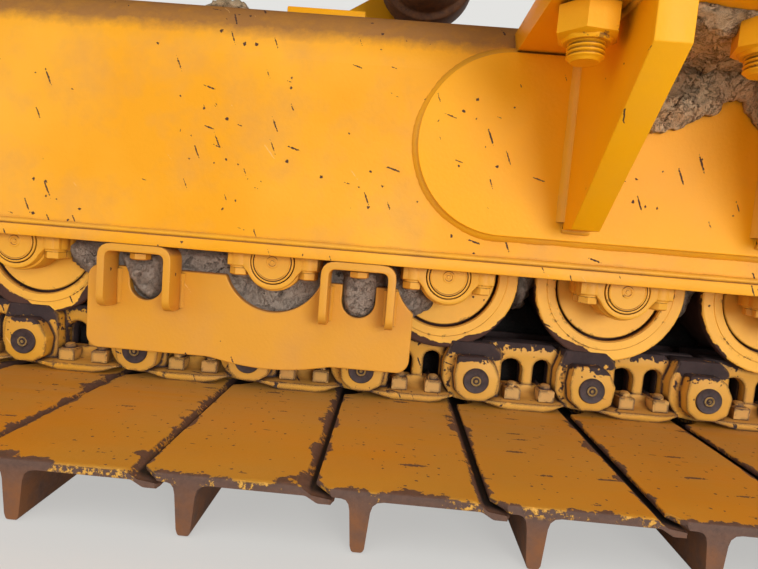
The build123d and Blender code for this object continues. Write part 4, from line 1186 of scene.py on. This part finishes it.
noise.seed_set(7)
packed = bmesh.new()
flange_under = frame_low.z - 0.001
guard_mud = [
    (-0.262, flange_under), (-0.235, 0.290), (-0.170, 0.250), (-0.100, 0.215), (0.060, 0.215),
    (0.150, 0.215), (0.300, 0.212), (0.400, 0.232), (0.445, 0.262), (0.452, 0.288), (0.405, flange_under)
]
mud_slab(packed, guard_mud, 0.108, 0.1385, lump=0.007)
front_slot = [
    (-0.139, 0.325), (-0.129, 0.300), (-0.117, 0.278), (-0.103, 0.252), (-0.092, 0.241), (-0.080, 0.236),
    (-0.066, 0.240), (-0.054, 0.252), (-0.050, 0.270), (-0.052, 0.325)
]
mud_slab(packed, front_slot, 0.130, 0.160, lump=0.016, taper=0.012, cell=0.003)
rear_slot = [
    (0.279, 0.325), (0.279, 0.275), (0.282, 0.256), (0.291, 0.241), (0.305, 0.234), (0.320, 0.234),
    (0.334, 0.241), (0.342, 0.254), (0.345, 0.275), (0.347, 0.290), (0.357, 0.300), (0.354, 0.325)
]
mud_slab(packed, rear_slot, 0.130, 0.157, lump=0.007, taper=0.010, cell=0.003)
neighbours = ((0, 1), (1, 2), (2, 3), (4, 5), (5, 6), (6, 7), (0, 4))
gaps = [((roller_xs[a] + roller_xs[b]) / 2, abs(roller_xs[a] - roller_xs[b]) / 2) for a, b in neighbours]
for middle, half in gaps:
    reach = half - 0.112
    wedge = [
        (middle - reach - 0.030, flange_under + 0.06), (middle - reach + 0.008, 0.318),
        (middle - 0.012, 0.262), (middle + 0.014, 0.256), (middle + reach - 0.006, 0.322),
        (middle + reach + 0.030, flange_under + 0.06)
    ]
    mud_slab(packed, wedge, -0.060, 0.066, lump=0.012, taper=0.02, cell=0.007)
bmesh.ops.recalc_face_normals(packed, faces=packed.faces)
# Dried clay: pale grey-brown and wholly matt, grainy to the eye, with dark hairline cracks and a little
# painted shade in its creases
dried_clay = dried_mud("dried_clay", "94867A", "C4B4A2", folds=0.2)
finished("packed_mud", packed, dried_clay, "bare_track", sharp=180)

# Inner shade filler: a near-black filler in the space between neighbouring rollers, behind the clay,
# painted shade for the deep gaps
shade_filler = bmesh.new()
spin, drops = tread_radius + 0.004, (0.1245, 0.098, 0.075, 0.045, 0.015)
for middle, half in gaps:
    flank = [(half - math.sqrt(max(0.0, spin**2 - drop**2)), axle_height - drop) for drop in drops]
    flank.append((flank[-1][0], flange_under + 0.01))
    wedge = [(middle - x, z) for x, z in flank] + [(middle + x, z) for x, z in flank[::-1]]
    mud_slab(shade_filler, wedge, -0.076, -0.020, cell=0.008)
bmesh.ops.recalc_face_normals(shade_filler, faces=shade_filler.faces)
# Black shade filler: almost black, painted shade so that the gaps between rollers read as deep
black_shade_filler = dried_mud("black_shade_filler", "0D0908", "1D1511")
finished("inner_dirt", shade_filler, black_shade_filler, "bare_track", sharp=180)

# Chain shade filler: a squared near-black lump between the rails of each lower link, painted shade
# seen through the link windows
lump = bmesh.new()
bmesh.ops.create_icosphere(lump, subdivisions=3, radius=1.0)
for vertex in lump.verts:
    bulge = 1.0 + 0.10 * noise.noise(vertex.co * 3.0)
    squared = [math.copysign(abs(value) ** 0.6, value) for value in vertex.co]
    vertex.co.x = 0.108 + 0.066 * squared[0] * bulge
    vertex.co.y = 0.030 * squared[1]
    vertex.co.z = -0.012 + 0.036 * squared[2] * bulge
lower_run = [place for place in chain_places if place[2] < pin_height + 0.001 and abs(place[0]) < 1.5]
repeated("chain_dirt", lump, lower_run, black_shade_filler, "bare_track", sharp=180)

# Shelf mud: pale clay between the rear bracket's gussets, its paleness partly painted light, a skin of
# it under their shelf, and one clump on top of the frame between the two brackets
shelf_mud = bmesh.new()
bracket_low, bracket_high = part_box("boom_bracket_rear")
mud_left = (bracket_low.x + bracket_high.x) / 2 - gusset_offset + gusset_half
mud_right = mud_left + 2 * gusset_offset - 2 * gusset_half
mud_back, mud_top = 0.2072, shelf_under - 0.0005
bank = [
    (mud_left, mud_top), (mud_left, 0.585), (0.740, 0.592), (0.766, 0.595), (0.779, 0.591), (0.798, 0.597),
    (0.817, 0.602), (0.835, 0.614), (0.854, 0.624), (0.873, 0.634), (0.880, 0.647), (0.892, 0.654),
    (0.910, 0.651), (0.922, 0.637), (0.932, 0.623), (0.945, 0.613), (mud_right, 0.606), (mud_right, mud_top)
]
mud_slab(shelf_mud, bank, mud_back, 0.232, lump=0.024, taper=0.03)
skin = bmesh.new()
patch = [
    (mud_left, 0.208), (mud_right, 0.208), (mud_right, 0.396), (0.90, 0.408), (0.84, 0.424), (0.78, 0.414),
    (mud_left, 0.436)
]
mud_slab(skin, patch, 0.0003, 0.014, lump=0.014, taper=0.02)
lay_flat = Matrix.Translation((0, 0, shelf_under)) @ Matrix.Rotation(math.radians(90), 4, "X")
shelf_mud = joined(shelf_mud, (skin, lay_flat))
clump = [(-0.030, 0.764), (-0.022, 0.785), (0.012, 0.802), (0.050, 0.796), (0.079, 0.764)]
mud_slab(shelf_mud, clump, 0.060, 0.126, lump=0.014, taper=0.02)
bmesh.ops.recalc_face_normals(shelf_mud, faces=shelf_mud.faces)
# Shelf clay: sandy cream with painted shade in brown creases, made paler as painted light for the
# shade it lies in; the lightest patch beside the yellow plates
lit_shelf_clay = dried_mud("lit_shelf_clay", "D6B283", "F4E0BC", folds=0.5)
finished("shelf_mud", shelf_mud, lit_shelf_clay, "bare_track", sharp=180)
